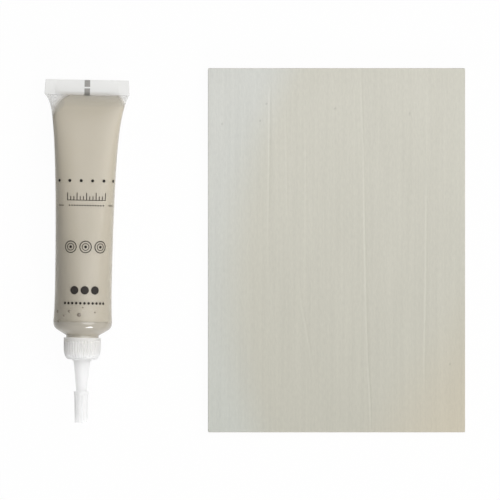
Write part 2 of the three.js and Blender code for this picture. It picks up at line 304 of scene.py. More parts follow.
for side, fade, chosen in ((-1, CORNER_FADE_LEFT, "LESS_THAN"), (1, CORNER_FADE_RIGHT, "GREATER_THAN")):
    across, reach = PASTE_CORNERS[side]
    centre = ((axis_x + side * (half_width(reach, fade) - across)) * MM, (seal_line - reach) * MM, 0.0)
    offset = add(tree, "ShaderNodeVectorMath", {0: plan, 1: centre}, operation="SUBTRACT")
    stretch = (side / (across * MM), 1 / (reach * MM), 0.0)
    shares = add(tree, "ShaderNodeVectorMath", {0: offset, 1: stretch}, operation="MULTIPLY")
    outward = add(tree, "ShaderNodeVectorMath", {0: shares, 1: (0.0, 0.0, 0.0)}, operation="MAXIMUM")
    out = add(tree, "ShaderNodeVectorMath", {0: outward}, operation="LENGTH").outputs["Value"]
    band = add(tree, "ShaderNodeMath", {0: place.outputs["X"], 1: axis_x * MM}, operation=chosen)
    for near, far, start in ((FILM_INSIDE, 1.0, 0.0), (1.0, FILM_OUTSIDE, 1.0)):
        slope = add(
            tree,
            "ShaderNodeMapRange",
            {"Value": out, "From Min": near, "From Max": far, "To Min": start, "To Max": 1 - start},
            interpolation_type="SMOOTHSTEP",
        )
        band = add(tree, "ShaderNodeMath", {0: band, 1: slope}, operation="MULTIPLY")
    film = add(tree, "ShaderNodeMath", {0: film, 1: band}, operation="ADD")
below_seal = add(tree, "ShaderNodeMath", {0: 1.0, 1: in_seal}, operation="SUBTRACT")
film = add(tree, "ShaderNodeMath", {0: film, 1: below_seal}, operation="MULTIPLY")
film_cover = add(tree, "ShaderNodeMath", {0: film, 1: FILM_SHARE}, operation="MULTIPLY")
cover = add(tree, "ShaderNodeMath", {0: cover, 1: film_cover}, operation="MAXIMUM")
white_share = add(tree, "ShaderNodeMapRange", {"Value": thick, "From Max": WHITE_FROM})
# Painted shade: the seal darkens towards its foot in the middle, paste-coloured, for the crease under the
# fin.
foot_shade_along = add(
    tree,
    "ShaderNodeMapRange",
    {
        "Value": place.outputs["Y"],
        "From Min": seal_line * MM,
        "From Max": (seal_line + SEAL_FOOT_SHADE_REACH) * MM,
        "To Min": SEAL_FOOT_SHADE_SHARE,
        "To Max": 0.0,
    },
)
across = add(tree, "ShaderNodeMath", {0: place.outputs["X"], 1: axis_x * MM}, operation="SUBTRACT")
across = add(tree, "ShaderNodeMath", {0: across}, operation="ABSOLUTE")
between = add(
    tree,
    "ShaderNodeMapRange",
    {
        "Value": across,
        "From Min": SEAL_FOOT_SHADE_HALF_WIDTHS[0] * MM,
        "From Max": SEAL_FOOT_SHADE_HALF_WIDTHS[1] * MM,
        "To Min": 1.0,
        "To Max": 0.0,
    },
)
foot_shade_along = add(tree, "ShaderNodeMath", {0: foot_shade_along, 1: between}, operation="MULTIPLY")
seal_foot_shade = add(tree, "ShaderNodeMath", {0: foot_shade_along, 1: in_seal}, operation="MULTIPLY")
sealed = add(
    tree,
    "ShaderNodeMix",
    {"Factor": seal_foot_shade, "A": linear(SEAL_COLOUR), "B": linear(SEAL_FOOT_SHADE_COLOUR)},
    data_type="RGBA",
)
tone = add(
    tree,
    "ShaderNodeMix",
    {"Factor": white_share, "A": linear(PLASTIC_COLOUR), "B": sealed.outputs["Result"]},
    data_type="RGBA",
)
filmed = add(
    tree,
    "ShaderNodeMix",
    {"Factor": film, "A": tone.outputs["Result"], "B": linear(FILM_COLOUR)},
    data_type="RGBA",
)
wave = add(tree, "ShaderNodeTexNoise", {"Vector": spot.outputs["Object"], "Scale": 1 / (SLEEVE_WAVE * MM)})
bump = add(tree, "ShaderNodeBump", {"Height": wave, "Strength": 0.15, "Distance": SLEEVE_WAVE_DEPTH * MM})
shader = add(
    tree,
    "ShaderNodeBsdfPrincipled",
    {
        "Base Color": filmed.outputs["Result"],
        "Roughness": 0.25,
        "IOR": 1.51,
        "Specular IOR Level": 0.35,
        "Alpha": cover,
        "Normal": bump,
    },
)
add(tree, "ShaderNodeOutputMaterial", {"Surface": shader})

stations = [body_length * (i / SLEEVE_STATIONS) ** STATION_CROWDING for i in range(1, SLEEVE_STATIONS + 1)]
rings = [ring(seal_line - along, section(along), WALL_SEEN) for along in stations]
rings += [ring(seal_line - along, section(along)) for along in reversed(stations)]
rings += [seal_ring(seal_line, seal_width), seal_ring(sleeve_high.y, seal_width - SEAL_END_NARROWING)]
sleeve = piece("clear_sleeve", *loft(rings), clear_sleeve)
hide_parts("tube_sleeve")
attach(sleeve, "tube")


# Print on the sleeve. Screen-printed dark ink, a thin film on the outside of the wall, in rows of plain
# dots, strokes and rings.
INK_LIFT = 0.02
INK_FILM = 0.01
INK_STEP = 0.3
WALL_STEPS = 60
HOOP_SIDES = 36
PRINT_SHIFT = 0.6
# A row of dots is (count, spacing, from the seal, radius), a stroke is (width, height) and a hoop is
# (outer radius, inner radius).
DOT_ROWS = [(6, 3.7, 28.0, 0.5), (14, 0.85, 36.0, 0.24), (3, 3.4, 63.4, 1.35), (11, 1.35, 67.6, 0.42)]
RULER_FROM_SEAL = 34.3
RULER_LINE = (12.6, 0.2)
TICKS = 13
TICK_SPACING = 1.03
TICK_WIDTH = 0.24
TICK_LENGTHS = [2.4, 1.3, 1.3]
DASH_PLACE = (8.6, 36.0)
DASH_SIZE = (2.2, 0.22)
TARGETS = 3
TARGET_SPACING = 4.9
TARGET_FROM_SEAL = 49.4
TARGET_HOOPS = [(2.0, 1.72), (1.2, 0.98), (0.45, 0.0)]

# Screen ink dries matt and a little uneven, so the marks are nearly black and hardly shine.
INK_COLOUR = "#1d1916"
INK_THIN = "#2b2622"
INK_GRAIN = 0.5


def mottled(tree, spot, size, first, second, detail=2.0):
    """A colour that drifts between two others over a piece, in patches of a size."""
    patch = add(
        tree,
        "ShaderNodeTexNoise",
        {"Vector": spot.outputs["Object"], "Scale": 1 / (size * MM), "Detail": detail},
    )
    tone = add(
        tree,
        "ShaderNodeMix",
        {"Factor": patch, "A": linear(first), "B": linear(second)},
        data_type="RGBA",
    )
    return tone.outputs["Result"]


ink, tree = material("screen_printed_ink")
spot = add(tree, "ShaderNodeTexCoord")
tone = mottled(tree, spot, INK_GRAIN, INK_COLOUR, INK_THIN)
shader = add(
    tree,
    "ShaderNodeBsdfPrincipled",
    {"Base Color": tone, "Roughness": 0.6, "Specular IOR Level": 0.25},
)
add(tree, "ShaderNodeOutputMaterial", {"Surface": shader})


def inked(across, along):
    """A point on the outside of the sleeve, from its distance round the wall and from the seal."""
    left_to_go = abs(across + PRINT_SHIFT)
    way = math.copysign(1, across + PRINT_SHIFT)
    here = Vector(on_section(section(along), math.pi / 2, -INK_LIFT))
    for i in range(1, WALL_STEPS):
        there = Vector(on_section(section(along), math.pi / 2 * (1 - way * i / WALL_STEPS), -INK_LIFT))
        stride = (there - here).length
        if stride >= left_to_go:
            break
        left_to_go -= stride
        here = there
    x, z = here.lerp(there, left_to_go / stride)
    return x, seal_line - along, z


print_points, print_faces = [], []


def bar(across, along, width, height):
    """A printed stroke, centred on a place."""
    columns = max(1, round(width / INK_STEP))
    rows = max(1, round(height / INK_STEP))
    first = len(print_points)
    for i in range(rows + 1):
        down = (i / rows - 0.5) * height
        for j in range(columns + 1):
            print_points.append(inked(across + (j / columns - 0.5) * width, along + down))
    for i in range(rows):
        for j in range(columns):
            corner = first + i * (columns + 1) + j
            print_faces.append((corner, corner + 1, corner + columns + 2, corner + columns + 1))


def hoop(across, along, outer, inner):
    """A printed ring, or a dot where the inner radius is 0."""
    first = len(print_points)
    for i in range(HOOP_SIDES):
        turn = math.tau * i / HOOP_SIDES
        for radius in (outer, inner):
            print_points.append(inked(across + radius * math.cos(turn), along + radius * math.sin(turn)))
    for i in range(HOOP_SIDES):
        here, beside = first + 2 * i, first + 2 * ((i + 1) % HOOP_SIDES)
        print_faces.append((here, beside, beside + 1, here + 1))


def spread(count, spacing):
    """Places across the print of evenly spaced marks, with the middle one or the middle gap at 0."""
    return [(i - (count - 1) / 2) * spacing for i in range(count)]


for count, spacing, along, radius in DOT_ROWS:
    for across in spread(count, spacing):
        hoop(across, along, radius, 0.0)
bar(0.0, RULER_FROM_SEAL, *RULER_LINE)
for i, across in enumerate(spread(TICKS, TICK_SPACING)):
    tick = TICK_LENGTHS[i % len(TICK_LENGTHS)]
    bar(across, RULER_FROM_SEAL - tick / 2, TICK_WIDTH, tick)
for side in (-1, 1):
    bar(side * DASH_PLACE[0], DASH_PLACE[1], *DASH_SIZE)
for across in spread(TARGETS, TARGET_SPACING):
    for outer, inner in TARGET_HOOPS:
        hoop(across, TARGET_FROM_SEAL, outer, inner)

marks = piece("printed_marks", print_points, print_faces, ink, INK_FILM)
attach(marks, "tube")


# Register mark. Two blocks of thin grey ink on the seal, which the filling machine reads to turn each
# tube the same way round before it is closed.
MARK_WIDTH = 1.8
MARK_SHIFT = 0.05
MARK_BLOCKS = [(-4.65, -2.45), (-1.95, 0.4)]
MARK_ROWS = 12

# Thin ink lets the seal's white through, so it is a patchy grey. It is painted darker towards the seal's
# foot, a painted shade of the crease under the fin.
MARK_DARK = "#8b8984"
MARK_LIGHT = "#a3a19d"
MARK_GRAIN = 0.6
# Painted shade at the seal's foot: its colour, the length it clears over, and its share.
MARK_FOOT_SHADE = "#5e5c55"
MARK_FOOT_SHADE_LENGTH = 1.0
MARK_FOOT_SHADE_SHARE = 0.9

grey_ink, tree = material("thin_grey_ink")
spot = add(tree, "ShaderNodeTexCoord")
tone = mottled(tree, spot, MARK_GRAIN, MARK_DARK, MARK_LIGHT)
place = add(tree, "ShaderNodeSeparateXYZ", {0: spot.outputs["Object"]})
# Painted shade: the mark is darkest at the seal's foot and clears over a millimetre into the seal.
mark_foot_shade = add(
    tree,
    "ShaderNodeMapRange",
    {
        "Value": place.outputs["Y"],
        "From Min": seal_line * MM,
        "From Max": (seal_line + MARK_FOOT_SHADE_LENGTH) * MM,
        "To Min": MARK_FOOT_SHADE_SHARE,
        "To Max": 0.0,
    },
)
hue = add(
    tree,
    "ShaderNodeMix",
    {"Factor": mark_foot_shade, "A": tone, "B": linear(MARK_FOOT_SHADE)},
    data_type="RGBA",
)
shader = add(tree, "ShaderNodeBsdfPrincipled", {"Base Color": hue.outputs["Result"], "Roughness": 0.5})
add(tree, "ShaderNodeOutputMaterial", {"Surface": shader})

seal_top = axis_z + section(0)[3] + SEAL_HALF_THICKNESS
mark_points, mark_faces = [], []
for top, foot in MARK_BLOCKS:
    first = len(mark_points)
    for k in range(MARK_ROWS + 1):
        along = top + (foot - top) * k / MARK_ROWS
        bulge = axis_z + section(along)[3] + section(along)[2] if along > 0 else seal_top
        for side in (-1, 1):
            x = axis_x + MARK_SHIFT + side * MARK_WIDTH / 2
            mark_points.append((x, seal_line - along, max(seal_top, bulge) + INK_LIFT))
    for k in range(MARK_ROWS):
        corner = first + 2 * k
        mark_faces.append((corner, corner + 2, corner + 3, corner + 1))
register = piece("register_mark", mark_points, mark_faces, grey_ink, INK_FILM)
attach(register, "tube")


# Tube head. The shoulder and threaded neck, injection-moulded in the same polyethylene and welded into
# the round end of the sleeve. It is thicker than the sleeve, so it hides more and takes the paste's tint.
SHOULDER_ROUND = 3.0
SHOULDER_SLOPE = math.radians(30)
RIM_BAND = 0.15
NECK_BASE_RADIUS = 5.25
NECK_BASE_LENGTH = 0.8
NECK_BORE_RADIUS = 4.2
THREAD_CORE_RADIUS = 4.8
NECK_BORE_ROUND = 0.3
NECK_EDGE_ROUND = 0.25
NECK_BASE_ROUND = 0.15
NECK_ROOT_ROUND = 0.1
WELD_GAP = 0.02
TURNED_SIDES = 144
FILLET_STEPS = 8
FILLET_ROOM = 0.98

neck_end = mm_box("tube_head")[0].y
rim_top = round_end - WELD_GAP
cone_top = round_end - RIM_BAND - SHOULDER_ROUND * math.cos(SHOULDER_SLOPE)
cone_radius = sleeve_radius - SHOULDER_ROUND * (1 - math.sin(SHOULDER_SLOPE))


def shoulder_level(radius, inset=0.0):
    """Level of the shoulder's cone at a radius, or of a face that far inside it."""
    drop = (cone_radius - radius) * math.tan(SHOULDER_SLOPE)
    return cone_top - drop + inset / math.cos(SHOULDER_SLOPE)


def rounded(corners):
    """Points of a closed outline through corners of (radius, level, fillet)."""
    points = []
    for i, (radius, level, fillet) in enumerate(corners):
        here = Vector((radius, level))
        back = Vector(corners[i - 1][:2]) - here
        on = Vector(corners[(i + 1) % len(corners)][:2]) - here
        if not fillet:
            points.append(here)
            continue
        beside = (corners[i - 1], corners[(i + 1) % len(corners)])
        room = [
            side.length * (FILLET_ROOM / 2 if corner[2] else FILLET_ROOM)
            for side, corner in zip((back, on), beside)
        ]
        reach = min(fillet / math.tan(back.angle(on) / 2), *room)
        start, end = here + back.normalized() * reach, here + on.normalized() * reach
        for k in range(FILLET_STEPS + 1):
            t = k / FILLET_STEPS
            points.append(start * (1 - t) ** 2 + here * 2 * t * (1 - t) + end * t**2)
    return points


def turned(outline):
    """Points and faces of an outline turned about the tube's axis and kept off the surface below."""
    points, faces = [], []
    count = len(outline)
    for i in range(TURNED_SIDES):
        turn = math.tau * i / TURNED_SIDES
        for p in outline:
            lowest = sleeve_low.z + min(sleeve_radius - p.x, WALL_SEEN)
            points.append((axis_x + p.x * math.cos(turn), p.y, max(axis_z + p.x * math.sin(turn), lowest)))
        for j in range(count):
            here, above = i * count + j, i * count + (j + 1) % count
            beside = (i + 1) % TURNED_SIDES * count
            faces.append((here, above, beside + (j + 1) % count, beside + j))
    return points, faces


def head_inside(inset):
    """Corners of the head's inside, or of what fills it, from the rim to the end of the neck."""
    wide = sleeve_radius - inset
    narrow = NECK_BORE_RADIUS + WALL_SEEN - inset
    return [
        (wide, rim_top, 0.0),
        (wide, shoulder_level(wide, inset), SHOULDER_ROUND),
        (narrow, shoulder_level(narrow, inset), NECK_BORE_ROUND),
        (narrow, neck_end, 0.0),
    ]


# Thick polyethylene is so milky that the paste behind it only tints it. The mould leaves it smoother than
# the sleeve, so a lamp shows in its round as a sharp white spot.
HEAD_LIGHT = "#bcb5a7"
HEAD_DARK = "#b6ae9f"
HEAD_CLOUD = 3.0
HEAD_VEIL = 0.85

clear_head, tree = material("moulded_polyethylene_head")
spot = add(tree, "ShaderNodeTexCoord")
tone = mottled(tree, spot, HEAD_CLOUD, HEAD_LIGHT, HEAD_DARK)
shader = add(
    tree,
    "ShaderNodeBsdfPrincipled",
    {"Base Color": tone, "Roughness": 0.1, "Specular IOR Level": 1.0, "Alpha": HEAD_VEIL},
)
add(tree, "ShaderNodeOutputMaterial", {"Surface": shader})

neck_base_level = shoulder_level(NECK_BASE_RADIUS)
head = piece(
    "moulded_head",
    *turned(
        rounded(
            [
                *head_inside(WALL_SEEN),
                (THREAD_CORE_RADIUS, neck_end, NECK_EDGE_ROUND),
                (THREAD_CORE_RADIUS, neck_base_level - NECK_BASE_LENGTH, NECK_ROOT_ROUND),
                (NECK_BASE_RADIUS, neck_base_level - NECK_BASE_LENGTH, NECK_BASE_ROUND),
                (NECK_BASE_RADIUS, neck_base_level, NECK_EDGE_ROUND),
                (sleeve_radius, shoulder_level(sleeve_radius), SHOULDER_ROUND),
                (sleeve_radius, rim_top, 0.0),
            ]
        )
    ),
    clear_head,
)
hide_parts("tube_head")
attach(head, "tube")


# Neck thread. The single bead that the collar screws along, moulded in one with the neck. A spiral
# carries a round bead that thins away at both of its ends.
THREAD_PITCH = 1.5
THREAD_TURNS = 2.4
THREAD_DEPTH = 0.33
THREAD_START = 1.05
THREAD_STEPS = 72
BEAD_SIDES = 10
TAPER_SHARE = 0.1
TAPER_TIP = 0.05


def new_tree(name, sockets):
    """A Geometry Nodes tree with named inputs and one geometry output, and its input node."""
    made = bpy.data.node_groups.new(name, "GeometryNodeTree")
    made.interface.new_socket("Geometry", in_out="OUTPUT", socket_type="NodeSocketGeometry")
    for label, kind in sockets.items():
        made.interface.new_socket(label, in_out="INPUT", socket_type=f"NodeSocket{kind}")
    return made, add(made, "NodeGroupInput")


def close_tree(tree, given, shape):
    """Ends a tree in real geometry with the finish that it is given."""
    real = add(tree, "GeometryNodeRealizeInstances", {"Geometry": shape})
    done = add(tree, "GeometryNodeSetMaterial", {"Geometry": real, "Material": given.outputs["Finish"]})
    add(tree, "NodeGroupOutput", {"Geometry": done})


def grown(name, mesh, tree, values):
    """A plain mesh object from what a Geometry Nodes tree makes of a mesh."""
    made = bpy.data.objects.new(name, mesh)
    bpy.context.scene.collection.objects.link(made)
    grower = made.modifiers.new("grow", "NODES")
    grower.node_group = tree
    for label, value in values.items():
        grower[tree.interface.items_tree[label].identifier] = value
    depsgraph = bpy.context.evaluated_depsgraph_get()
    plain = bpy.data.meshes.new_from_object(made.evaluated_get(depsgraph))
    made.modifiers.clear()
    made.data = plain
    plain.name = name
    plain.shade_smooth()
    plain.set_sharp_from_angle(angle=CREASE)
    return made


thread_tree, given = new_tree(
    "thread_bead",
    {
        "Base": "Geometry",
        "Turns": "Float",
        "Pitch": "Float",
        "Radius": "Float",
        "Depth": "Float",
        "Place": "Vector",
        "Finish": "Material",
    },
)
rise = add(
    thread_tree,
    "ShaderNodeMath",
    {0: given.outputs["Turns"], 1: given.outputs["Pitch"]},
    operation="MULTIPLY",
)
spiral = add(
    thread_tree,
    "GeometryNodeCurveSpiral",
    {
        "Resolution": THREAD_STEPS,
        "Rotations": given.outputs["Turns"],
        "Start Radius": given.outputs["Radius"],
        "End Radius": given.outputs["Radius"],
        "Height": rise,
    },
)
share = add(thread_tree, "GeometryNodeSplineParameter")
rest = add(thread_tree, "ShaderNodeMath", {0: 1.0, 1: share.outputs["Factor"]}, operation="SUBTRACT")
ends = add(thread_tree, "ShaderNodeMath", {0: share.outputs["Factor"], 1: rest}, operation="MINIMUM")
taper = add(
    thread_tree,
    "ShaderNodeMapRange",
    {"Value": ends, "From Max": TAPER_SHARE, "To Min": TAPER_TIP, "To Max": 1.0},
    interpolation_type="SMOOTHSTEP",
)
sized = add(thread_tree, "GeometryNodeSetCurveRadius", {"Curve": spiral, "Radius": taper})
bead = add(
    thread_tree,
    "GeometryNodeCurvePrimitiveCircle",
    {"Resolution": BEAD_SIDES, "Radius": given.outputs["Depth"]},
)
swept = add(
    thread_tree,
    "GeometryNodeCurveToMesh",
    {"Curve": sized, "Profile Curve": bead, "Fill Caps": True},
)
laid = add(
    thread_tree,
    "GeometryNodeTransform",
    {"Geometry": swept, "Translation": given.outputs["Place"], "Rotation": (math.pi / 2, 0, 0)},
)
close_tree(thread_tree, given, laid)

thread = grown(
    "neck_thread",
    bpy.data.meshes.new("neck_thread"),
    thread_tree,
    {
        "Turns": THREAD_TURNS,
        "Pitch": THREAD_PITCH * MM,
        "Radius": THREAD_CORE_RADIUS * MM,
        "Depth": THREAD_DEPTH * MM,
        "Place": (axis_x * MM, (neck_base_level - NECK_BASE_LENGTH - THREAD_START) * MM, axis_z * MM),
        "Finish": clear_head,
    },
)
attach(thread, "tube")


# Paste. A smooth acrylic filler that the tube is packed with, pressed against the wall all round, so it
# takes the wall's gloss. It leaves the corners beside the seal empty.
PASTE_GAP = 0.03
PASTE_TOP = 0.3
PASTE_STATIONS = 90

# Wet acrylic filler is a soft beige in faint clouds, glossed where it lies on the wall. Its value is painted
# light: lighter towards the seal and a little darker towards the head, a painted fall of light down the tube.
PASTE_LIGHT = "#c3bbac"
PASTE_DARK = "#bcb4a1"
PASTE_CLOUD = 14.0
# Painted light down the paste, from its end at the head to its top by the seal.
PASTE_FOOT_PAINTED_LIGHT = 0.97
PASTE_TOP_PAINTED_LIGHT = 1.18

paste, tree = material("acrylic_wood_paste")
spot = add(tree, "ShaderNodeTexCoord")
tone = mottled(tree, spot, PASTE_CLOUD, PASTE_LIGHT, PASTE_DARK, detail=3.0)
place = add(tree, "ShaderNodeSeparateXYZ", {0: spot.outputs["Object"]})
# Painted light: the paste is painted darker towards the head and lighter towards the seal.
painted_light_falloff = add(
    tree,
    "ShaderNodeMapRange",
    {
        "Value": place.outputs["Y"],
        "From Min": round_end * MM,
        "From Max": seal_line * MM,
        "To Min": PASTE_FOOT_PAINTED_LIGHT,
        "To Max": PASTE_TOP_PAINTED_LIGHT,
    },
)
hue = add(tree, "ShaderNodeHueSaturation", {"Value": painted_light_falloff, "Color": tone})
shader = add(
    tree,
    "ShaderNodeBsdfPrincipled",
    {
        "Base Color": hue,
        "Roughness": 0.5,
        "Coat Weight": 0.2,
        "Coat Roughness": 0.1,
        "Coat IOR": 1.5,
    },
)
add(tree, "ShaderNodeOutputMaterial", {"Surface": shader})

paste_inset = WALL_SEEN + PASTE_GAP


def paste_side(side_fade, corner, along):
    """Half width of the paste on one side: inside the wall, and round at the corner by the seal."""
    across, reach = corner
    inside = half_width(along, side_fade) - paste_inset
    if along >= reach:
        return inside
    full = half_width(reach, side_fade) - paste_inset
    return min(inside, full - across + across * math.sqrt(1 - (1 - along / reach) ** 2))


rings = []
for i in range(PASTE_STATIONS + 1):
    along = PASTE_TOP + (body_length - PASTE_TOP) * (i / PASTE_STATIONS) ** STATION_CROWDING
    left = paste_side(CORNER_FADE_LEFT, PASTE_CORNERS[-1], along) + paste_inset
    right = paste_side(CORNER_FADE_RIGHT, PASTE_CORNERS[1], along) + paste_inset
    rings.append(ring(seal_line - along, (left, right, *section(along)[2:]), paste_inset))
for point in rounded(head_inside(paste_inset)):
    rings.append(ring(point.y, (point.x, point.x, point.x, 0.0, ROUND_POWER)))
fill = piece("paste", *loft(rings), paste)
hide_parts("paste_fill")
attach(fill, "tube")


# Air bubbles. Small flat pockets of air caught between the paste and the wall near the head, seen as
# dark specks. Each is a squashed sphere set on the paste at a place of (across, from seal, radius).
BUBBLES = [
    (-9.8, 70.4, 0.5),
    (-6.5, 71.7, 0.38),
    (-4.5, 70.2, 0.45),
    (-1.1, 71.4, 0.64),
    (0.1, 69.0, 0.24),
    (4.2, 70.5, 0.28),
    (-8.9, 73.5, 0.45),
]
BUBBLE_FLATNESS = 0.4
BUBBLE_SIDES = 20
BUBBLE_RINGS = 12

# A pocket of air shows the shaded paste behind it through a smooth skin: a dark speck with a glint.
AIR_DARK = "#6f675a"
AIR_LIGHT = "#857c6d"
AIR_GRAIN = 0.8

air, tree = material("trapped_air")
spot = add(tree, "ShaderNodeTexCoord")
tone = mottled(tree, spot, AIR_GRAIN, AIR_DARK, AIR_LIGHT)
shader = add(tree, "ShaderNodeBsdfPrincipled", {"Base Color": tone, "Roughness": 0.15})
add(tree, "ShaderNodeOutputMaterial", {"Surface": shader})

bubble_tree, given = new_tree(
    "air_bubbles",
    {"Places": "Geometry", "Flatness": "Float", "Finish": "Material"},
)
ball = add(
    bubble_tree,
    "GeometryNodeMeshUVSphere",
    {"Segments": BUBBLE_SIDES, "Rings": BUBBLE_RINGS, "Radius": 1.0},
)
radius = add(bubble_tree, "GeometryNodeInputNamedAttribute", {"Name": "radius"}, data_type="FLOAT")
height = add(
    bubble_tree,
    "ShaderNodeMath",
    {0: radius, 1: given.outputs["Flatness"]},
    operation="MULTIPLY",
)
size = add(bubble_tree, "ShaderNodeCombineXYZ", {"X": radius, "Y": radius, "Z": height})
copies = add(
    bubble_tree,
    "GeometryNodeInstanceOnPoints",
    {"Points": given.outputs["Places"], "Instance": ball.outputs["Mesh"], "Scale": size},
)
close_tree(bubble_tree, given, copies)

spots = bpy.data.meshes.new("bubble_places")
centres = []
for across, along, _ in BUBBLES:
    x, z = on_section(section(min(along, body_length)), math.pi / 2 - across / sleeve_radius, paste_inset)
    centres.append((x * MM, (seal_line - along) * MM, z * MM))
spots.from_pydata(centres, [], [])
sizes = spots.attributes.new("radius", "FLOAT", "POINT")
for entry, (_, _, bubble_radius) in zip(sizes.data, BUBBLES):
    entry.value = bubble_radius * MM
bubbles = grown("air_bubbles", spots, bubble_tree, {"Flatness": BUBBLE_FLATNESS, "Finish": air})
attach(bubbles, "tube")


# Spout. A tapered nozzle injection-moulded in white polypropylene, with a flange that the collar traps
# on the end of the neck and a channel right through it.
SPOUT_WALL = 0.6
SPOUT_BASE_RADIUS = 2.72
SPOUT_MIDDLE_RADIUS = 1.7
SPOUT_TIP_RADIUS = 1.15
SPOUT_MIDDLE = 0.53
FLANGE_THICKNESS = 0.9
ROOT_RING_RADIUS = 3.15
ROOT_RING_LENGTH = 0.35
ROOT_GAP = 0.08
COLLAR_EASE = 0.25
TIP_BORE_ROUND = 0.1
TIP_ROUND = 0.2
SPOUT_MIDDLE_ROUND = 1.0
ROOT_ROUND = 0.5
ROOT_RING_ROUND = 0.12
FLANGE_ROOT_ROUND = 0.1
FLANGE_ROUND = 0.15
CHANNEL_ROUND = 0.5

# White polypropylene lets much of the light into it and out again, so its shaded sides stay pale and soft.
# The mould gives it a satin face with a fine grain.
WHITE_LIGHT = "#fafafa"
WHITE_DARK = "#f7f7f7"
WHITE_CLOUD = 5.0
MOULD_GRAIN = 0.25
MOULD_GRAIN_DEPTH = 0.01
LET_THROUGH = 0.68

white, tree = material("moulded_white_polypropylene")
spot = add(tree, "ShaderNodeTexCoord")
tone = mottled(tree, spot, WHITE_CLOUD, WHITE_LIGHT, WHITE_DARK)
grain = add(tree, "ShaderNodeTexNoise", {"Vector": spot.outputs["Object"], "Scale": 1 / (MOULD_GRAIN * MM)})
bump = add(tree, "ShaderNodeBump", {"Height": grain, "Strength": 0.08, "Distance": MOULD_GRAIN_DEPTH * MM})
face = add(
    tree,
    "ShaderNodeBsdfPrincipled",
    {
        "Base Color": tone,
        "Roughness": 0.36,
        "IOR": 1.49,
        "Normal": bump,
        "Sheen Weight": 1.0,
        "Sheen Roughness": 0.5,
    },
)
through = add(tree, "ShaderNodeBsdfTranslucent", {"Color": tone})
both = add(tree, "ShaderNodeMixShader", {0: LET_THROUGH, 1: face, 2: through})
add(tree, "ShaderNodeOutputMaterial", {"Surface": both})

spout_low, spout_high = mm_box("nozzle_spout")
spout_tip = spout_low.y
flange_top = spout_high.y
flange_radius = (spout_high.x - spout_low.x) / 2
flange_bottom = flange_top - FLANGE_THICKNESS
collar_end = collar_low.y + COLLAR_EASE
spout_middle = collar_end + (spout_tip - collar_end) * SPOUT_MIDDLE
root_top = collar_end - ROOT_GAP
root_end = root_top - ROOT_RING_LENGTH


def spout_radius(level):
    """Radius of the spout's outside, a cone from the collar and a slimmer one under the tip cap."""
    share = (collar_end - level) / (collar_end - spout_tip)
    if share < SPOUT_MIDDLE:
        return SPOUT_BASE_RADIUS + (SPOUT_MIDDLE_RADIUS - SPOUT_BASE_RADIUS) * share / SPOUT_MIDDLE
    rest = (share - SPOUT_MIDDLE) / (1 - SPOUT_MIDDLE)
    return SPOUT_MIDDLE_RADIUS + (SPOUT_TIP_RADIUS - SPOUT_MIDDLE_RADIUS) * rest


spout = piece(
    "nozzle_spout_moulding",
    *turned(
        rounded(
            [
                (SPOUT_TIP_RADIUS - SPOUT_WALL, spout_tip, TIP_BORE_ROUND),
                (SPOUT_TIP_RADIUS, spout_tip, TIP_ROUND),
                (SPOUT_MIDDLE_RADIUS, spout_middle, SPOUT_MIDDLE_ROUND),
                (spout_radius(root_end), root_end, ROOT_ROUND),
                (ROOT_RING_RADIUS, root_end, ROOT_RING_ROUND),
                (ROOT_RING_RADIUS, root_top, 0.0),
                (SPOUT_BASE_RADIUS, root_top, 0.0),
                (SPOUT_BASE_RADIUS, flange_bottom, FLANGE_ROOT_ROUND),
                (flange_radius, flange_bottom, FLANGE_ROUND),
                (flange_radius, flange_top, FLANGE_ROUND),
                (SPOUT_BASE_RADIUS - SPOUT_WALL, flange_top, FLANGE_ROUND),
                (SPOUT_BASE_RADIUS - SPOUT_WALL, collar_end, CHANNEL_ROUND),
            ]
        )
    ),
    white,
)
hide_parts("nozzle_spout")
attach(spout, "spout")


# Screw collar. The white polypropylene nut that holds the spout on the neck. Its grip is a ring of fine
# upright ribs below a plain band, made as one rib's worth of wall repeated round the axis.
COLLAR_RIBS = 36
RIB_COLUMNS = 12
RIB_DEPTH = 0.4
RIB_SHARPNESS = 0.7
COLLAR_WALL = 0.7
COLLAR_END_WALL = 1.0
COLLAR_END_RADIUS = 4.6
COLLAR_TAPER_LENGTH = 4.2
COLLAR_TAPER_KNEE = 0.9
COLLAR_BAND = 1.3
BAND_BLEND = 0.25
BAND_STEPS = 3
RIB_FOOT = (0.25, 1.1)
RIB_INSIDE = (0.15, 0.3)
COLLAR_HOLE_ROUND = 0.15
COLLAR_RIM_ROUND = 0.3
COLLAR_BORE_ROUND = 0.15
COLLAR_SEAT_ROUND = 0.2
SEAT_EDGE_ROUND = 0.1
SPOUT_CLEARANCE = 0.15
CURVE_STEPS = 14
SECTOR_GAP = 0.002

collar_rim = collar_high.y
collar_radius = (collar_high.x - collar_low.x) / 2
collar_bore = collar_radius - COLLAR_WALL
collar_hole = SPOUT_BASE_RADIUS + SPOUT_CLEARANCE


def curve(start, control, end):
    """Corners without a fillet along a curve between two points of an outline."""
    corners = []
    for k in range(CURVE_STEPS + 1):
        t = k / CURVE_STEPS
        mix = [a * (1 - t) ** 2 + b * 2 * t * (1 - t) + c * t**2 for a, b, c in zip(start, control, end)]
        corners.append((*mix, 0.0))
    return corners


def ramp(value, low, high):
    """A smooth step from 0 at low to 1 at high."""
    t = max(0.0, min(1.0, (value - low) / (high - low)))
    return t * t * (3 - 2 * t)


